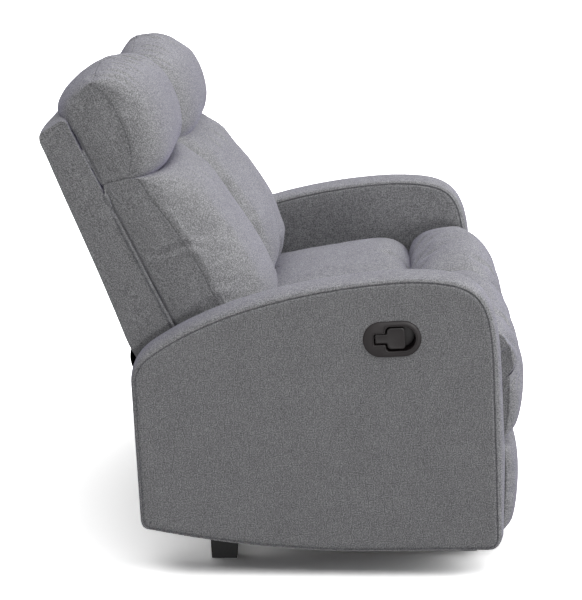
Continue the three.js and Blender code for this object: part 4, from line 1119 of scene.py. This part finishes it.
# Handle, in its own frame in millimetres: along the arm towards the rear, then up
BEZEL_HALF = (56, 35)
BEZEL_LAP = 1.5
CUP_FRONT = 45
CUP_HALF = 24
CUP_WALL = 2.5
CUP_DEPTH = 32
POCKET_ROOM = 0.4
WELL_REAR = 12.5
WELL_CORNER = 9
SLOT_REAR = 35
SLOT_HALF = 10.5
SLOT_CORNER = 3
PADDLE_FRONT = -24.8
PADDLE_REAR = 9.7
PADDLE_HALF = 21
PADDLE_CORNER = 8
NOSE_CORNER = 6
STEM_REAR = 32.5
STEM_HALF = 9
STEM_FILLET = 2.5
STEM_CORNER = 1.5
# Sections of its mouldings: how far the outline is grown, and how far out from the arm's face
PLATE_SECTION = ((0, 0.3), (0, 1.6), (-0.3, 2.6), (-0.9, 3.3), (-1.8, 3.6))
CUP_SECTION = ((3.4, 3.6), (3.0, 3.2), (2.6, 3.2), (2.1, 3.9), (1.1, 3.9), (0.3, 3.3), (0, 2.4),
               (0, -CUP_DEPTH + 4), (-1, -CUP_DEPTH + 2.6))
CUP_BACK = ((CUP_WALL, 0.3), (CUP_WALL, -CUP_DEPTH))
LEVER_SECTION = ((-0.8, -9), (0, -8.2), (0, -2.2), (-0.35, -1.4), (-1.1, -1))
LEVER_DISH = (-3, -1.25)
CRISP_ANGLE = 35


def stadium(margin):
    length, height = BEZEL_HALF
    radius, run = height + margin, length - height
    return arc((run, 0), radius, -90, 90, 20) + arc((-run, 0), radius, 90, 270, 20)


def stepped_rear(rear, half, corner, end, stem, fillet, tip, steps):
    """The rear of an outline, from below to above: its corners, and a narrower stem between them."""
    lower = (arc((rear - corner, corner - half), corner, -90, 0, 6)
             + arc((rear + fillet, -stem - fillet), fillet, 180, 90, 4)
             + arc((end - tip, tip - stem), tip, -90, 0, steps))
    return lower + [Vector((p.x, -p.y)) for p in reversed(lower)]


def keyhole(margin):
    """The cup's outline, grown by margin: a wide part with a round front, and a slot behind it."""
    half = CUP_HALF + margin
    front = arc((CUP_HALF - CUP_FRONT, 0), half, 90, 270, 24)
    return front + stepped_rear(WELL_REAR + margin, half, WELL_CORNER, SLOT_REAR + margin,
                                SLOT_HALF + margin, SLOT_CORNER, SLOT_CORNER, 4)


def paddle(margin):
    """The lever's outline, grown by margin: the finger paddle and the stem behind it."""
    half, nose = PADDLE_HALF + margin, PADDLE_FRONT - margin + NOSE_CORNER
    front = (arc((nose, half - NOSE_CORNER), NOSE_CORNER, 90, 180, 6)
             + arc((nose, NOSE_CORNER - half), NOSE_CORNER, 180, 270, 6))
    return front + stepped_rear(PADDLE_REAR + margin, half, PADDLE_CORNER, STEM_REAR + margin,
                                STEM_HALF + margin, STEM_FILLET, STEM_CORNER, 3)


def handle_ring(outline, out):
    """An outline of the right handle as a ring in the sofa, that far out from the arm's face."""
    tilt = -bpy.context.scene.sofa_form.handle_tilt
    return [Vector((-ARM_FACE - out, HANDLE_CENTRE.x + p.x * math.cos(tilt) - p.y * math.sin(tilt),
                    HANDLE_CENTRE.y + p.x * math.sin(tilt) + p.y * math.cos(tilt))) * MM
            for p in outline]


def handle_loft(bm, outline, section):
    return loft(bm, [handle_ring(outline(margin), out) for margin, out in section])


def crisp(made):
    """Keeps a moulding's corners sharp where its faces meet at more than a small angle."""
    bm = bmesh.new()
    bm.from_mesh(made.data)
    for edge in bm.edges:
        edge.smooth = (len(edge.link_faces) == 2
                       and edge.calc_face_angle(0) < math.radians(CRISP_ANGLE))
    bm.to_mesh(made.data)
    bm.free()


class SOFA_OT_handles(bpy.types.Operator):
    """Makes the moulded handle cups and the release levers in them"""

    bl_idname = "sofa.handles"
    bl_label = "Release handles"

    def execute(self, context):
        self.moulding("handle_bezel", "base", self.bezel)
        self.moulding("handle_lever", "handle", self.lever)
        return {"FINISHED"}

    def moulding(self, part, body, shape):
        bm = bmesh.new()
        shape(bm)
        made = to_object(bm, f"right_{part}_moulding", finish("moulded black ABS", handle_plastic))
        crisp(made)
        both_sides(made, part, body)

    def bezel(self, bm):
        _, (_, top) = handle_loft(bm, stadium, PLATE_SECTION)
        (_, lip), (_, floor) = handle_loft(bm, keyhole, CUP_SECTION)
        fill_between(bm, top + lip)
        fill_between(bm, floor)
        base = [e for e in bm.edges if e.is_boundary]
        (_, mouth), (_, bottom) = handle_loft(bm, keyhole, CUP_BACK)
        fill_between(bm, base + mouth)
        fill_between(bm, bottom)

    def lever(self, bm):
        (_, under), (verts, edges) = handle_loft(bm, paddle, LEVER_SECTION)
        fill_between(bm, under)
        margin, out = LEVER_DISH
        _, dish = extrude_loop(bm, verts, edges, handle_ring(paddle(margin), out))
        fill_between(bm, dish)


class SOFA_OT_mechanism(bpy.types.Operator):
    """Gives the steel mechanism, boards and feet their finishes"""

    bl_idname = "sofa.mechanism"
    bl_label = "Mechanism, boards and feet"

    def execute(self, context):
        finishes = {
            "mechanism_steel": ("powder coated steel", mechanism_steel),
            "board": ("poplar plywood", board_plywood),
            "foot_rubber": ("moulded black polypropylene", foot_plastic),
        }
        for part in frame["record"]["subparts"]:
            if part["material_slot"] in finishes:
                mesh = frame["nodes"][part["node"]].data
                mesh.materials.clear()
                mesh.materials.append(finish(*finishes[part["material_slot"]]))
        return {"FINISHED"}


FLOOR_SIZE = 60


class SOFA_OT_stage(bpy.types.Operator):
    """Makes the floor, the lamps and the camera"""

    bl_idname = "sofa.stage"
    bl_label = "Studio"

    def execute(self, context):
        scene = context.scene
        bm = bmesh.new()
        bmesh.ops.create_grid(bm, x_segments=1, y_segments=1, size=FLOOR_SIZE / 2)
        to_object(bm, "studio_floor", finish("painted studio floor", floor_paint))
        self.world(scene)
        for name in ("overhead", "front", "side"):
            self.light(scene, name)
        self.camera(scene)
        return {"FINISHED"}

    def world(self, scene):
        """A white background, whose light on the sofa is weaker."""
        world = bpy.data.worlds.new("pale studio")
        scene.world = world
        world.use_nodes = True
        tree = world.node_tree
        tree.nodes.clear()
        ray = node(tree, "LightPath").outputs
        direct = ray["Is Camera Ray"]
        for kind in ("Is Glossy Ray", "Is Transmission Ray"):
            direct = node(tree, "Math", {0: direct, 1: ray[kind]}, operation="MAXIMUM")
        ambient = scene.sofa_stage.ambient
        strength = node(tree, "MapRange", {"Value": direct, "To Min": ambient, "To Max": 1.0})
        background = node(tree, "Background", {"Color": (1, 1, 1, 1), "Strength": strength})
        node(tree, "OutputWorld", {"Surface": background})

    def light(self, scene, name):
        """A broad light that shines from its place towards the origin."""
        place, strength, spread = (getattr(scene.sofa_stage, f"{name}_{part}")
                                   for part in ("place", "strength", "spread"))
        light = bpy.data.lights.new(name + " light", "SUN")
        light.energy, light.angle = strength, spread
        made = bpy.data.objects.new(name + " light", light)
        made.location = place
        made.rotation_euler = (-Vector(place)).to_track_quat("-Z", "Y").to_euler()
        scene.collection.objects.link(made)

    def camera(self, scene):
        stage = scene.sofa_stage
        lens = bpy.data.cameras.new("camera")
        lens.sensor_width = 36
        lens.lens = stage.camera_lens
        made = bpy.data.objects.new("camera", lens)
        place, target = Vector(stage.camera_place), Vector(stage.camera_target)
        made.location = place
        made.rotation_euler = (target - place).to_track_quat("-Z", "Y").to_euler()
        scene.collection.objects.link(made)
        scene.camera = made
        scene.view_settings.view_transform = "Standard"


class SOFA_PT_panel(bpy.types.Panel):
    """Lists the sofa's sizes, colours and pieces"""

    bl_label = "Reclining sofa"
    bl_idname = "SOFA_PT_panel"
    bl_space_type = "VIEW_3D"
    bl_region_type = "UI"
    bl_category = "Sofa"

    def draw(self, context):
        for settings in (context.scene.sofa_form, context.scene.sofa_look, context.scene.sofa_stage):
            box = self.layout.box()
            for name in settings.__annotations__:
                box.prop(settings, name)
        for operator in OPERATORS:
            self.layout.operator(operator.bl_idname)


OPERATORS = (SOFA_OT_stage, SOFA_OT_mechanism, SOFA_OT_arms, SOFA_OT_handles, SOFA_OT_backs,
             SOFA_OT_back_cushions, SOFA_OT_head_cushions, SOFA_OT_seats, SOFA_OT_footrests)
SETTINGS = {"sofa_form": SofaForm, "sofa_look": SofaLook, "sofa_stage": SofaStage}


def register():
    for name, group in SETTINGS.items():
        bpy.utils.register_class(group)
        setattr(bpy.types.Scene, name, bpy.props.PointerProperty(type=group))
    for kind in (*OPERATORS, SOFA_PT_panel):
        bpy.utils.register_class(kind)


def unregister():
    for kind in (SOFA_PT_panel, *reversed(OPERATORS)):
        bpy.utils.unregister_class(kind)
    for name, group in SETTINGS.items():
        delattr(bpy.types.Scene, name)
        bpy.utils.unregister_class(group)


def main():
    register()
    for operator in OPERATORS:
        getattr(bpy.ops.sofa, operator.bl_idname.split(".")[1])()


if __name__ == "__main__":
    main()
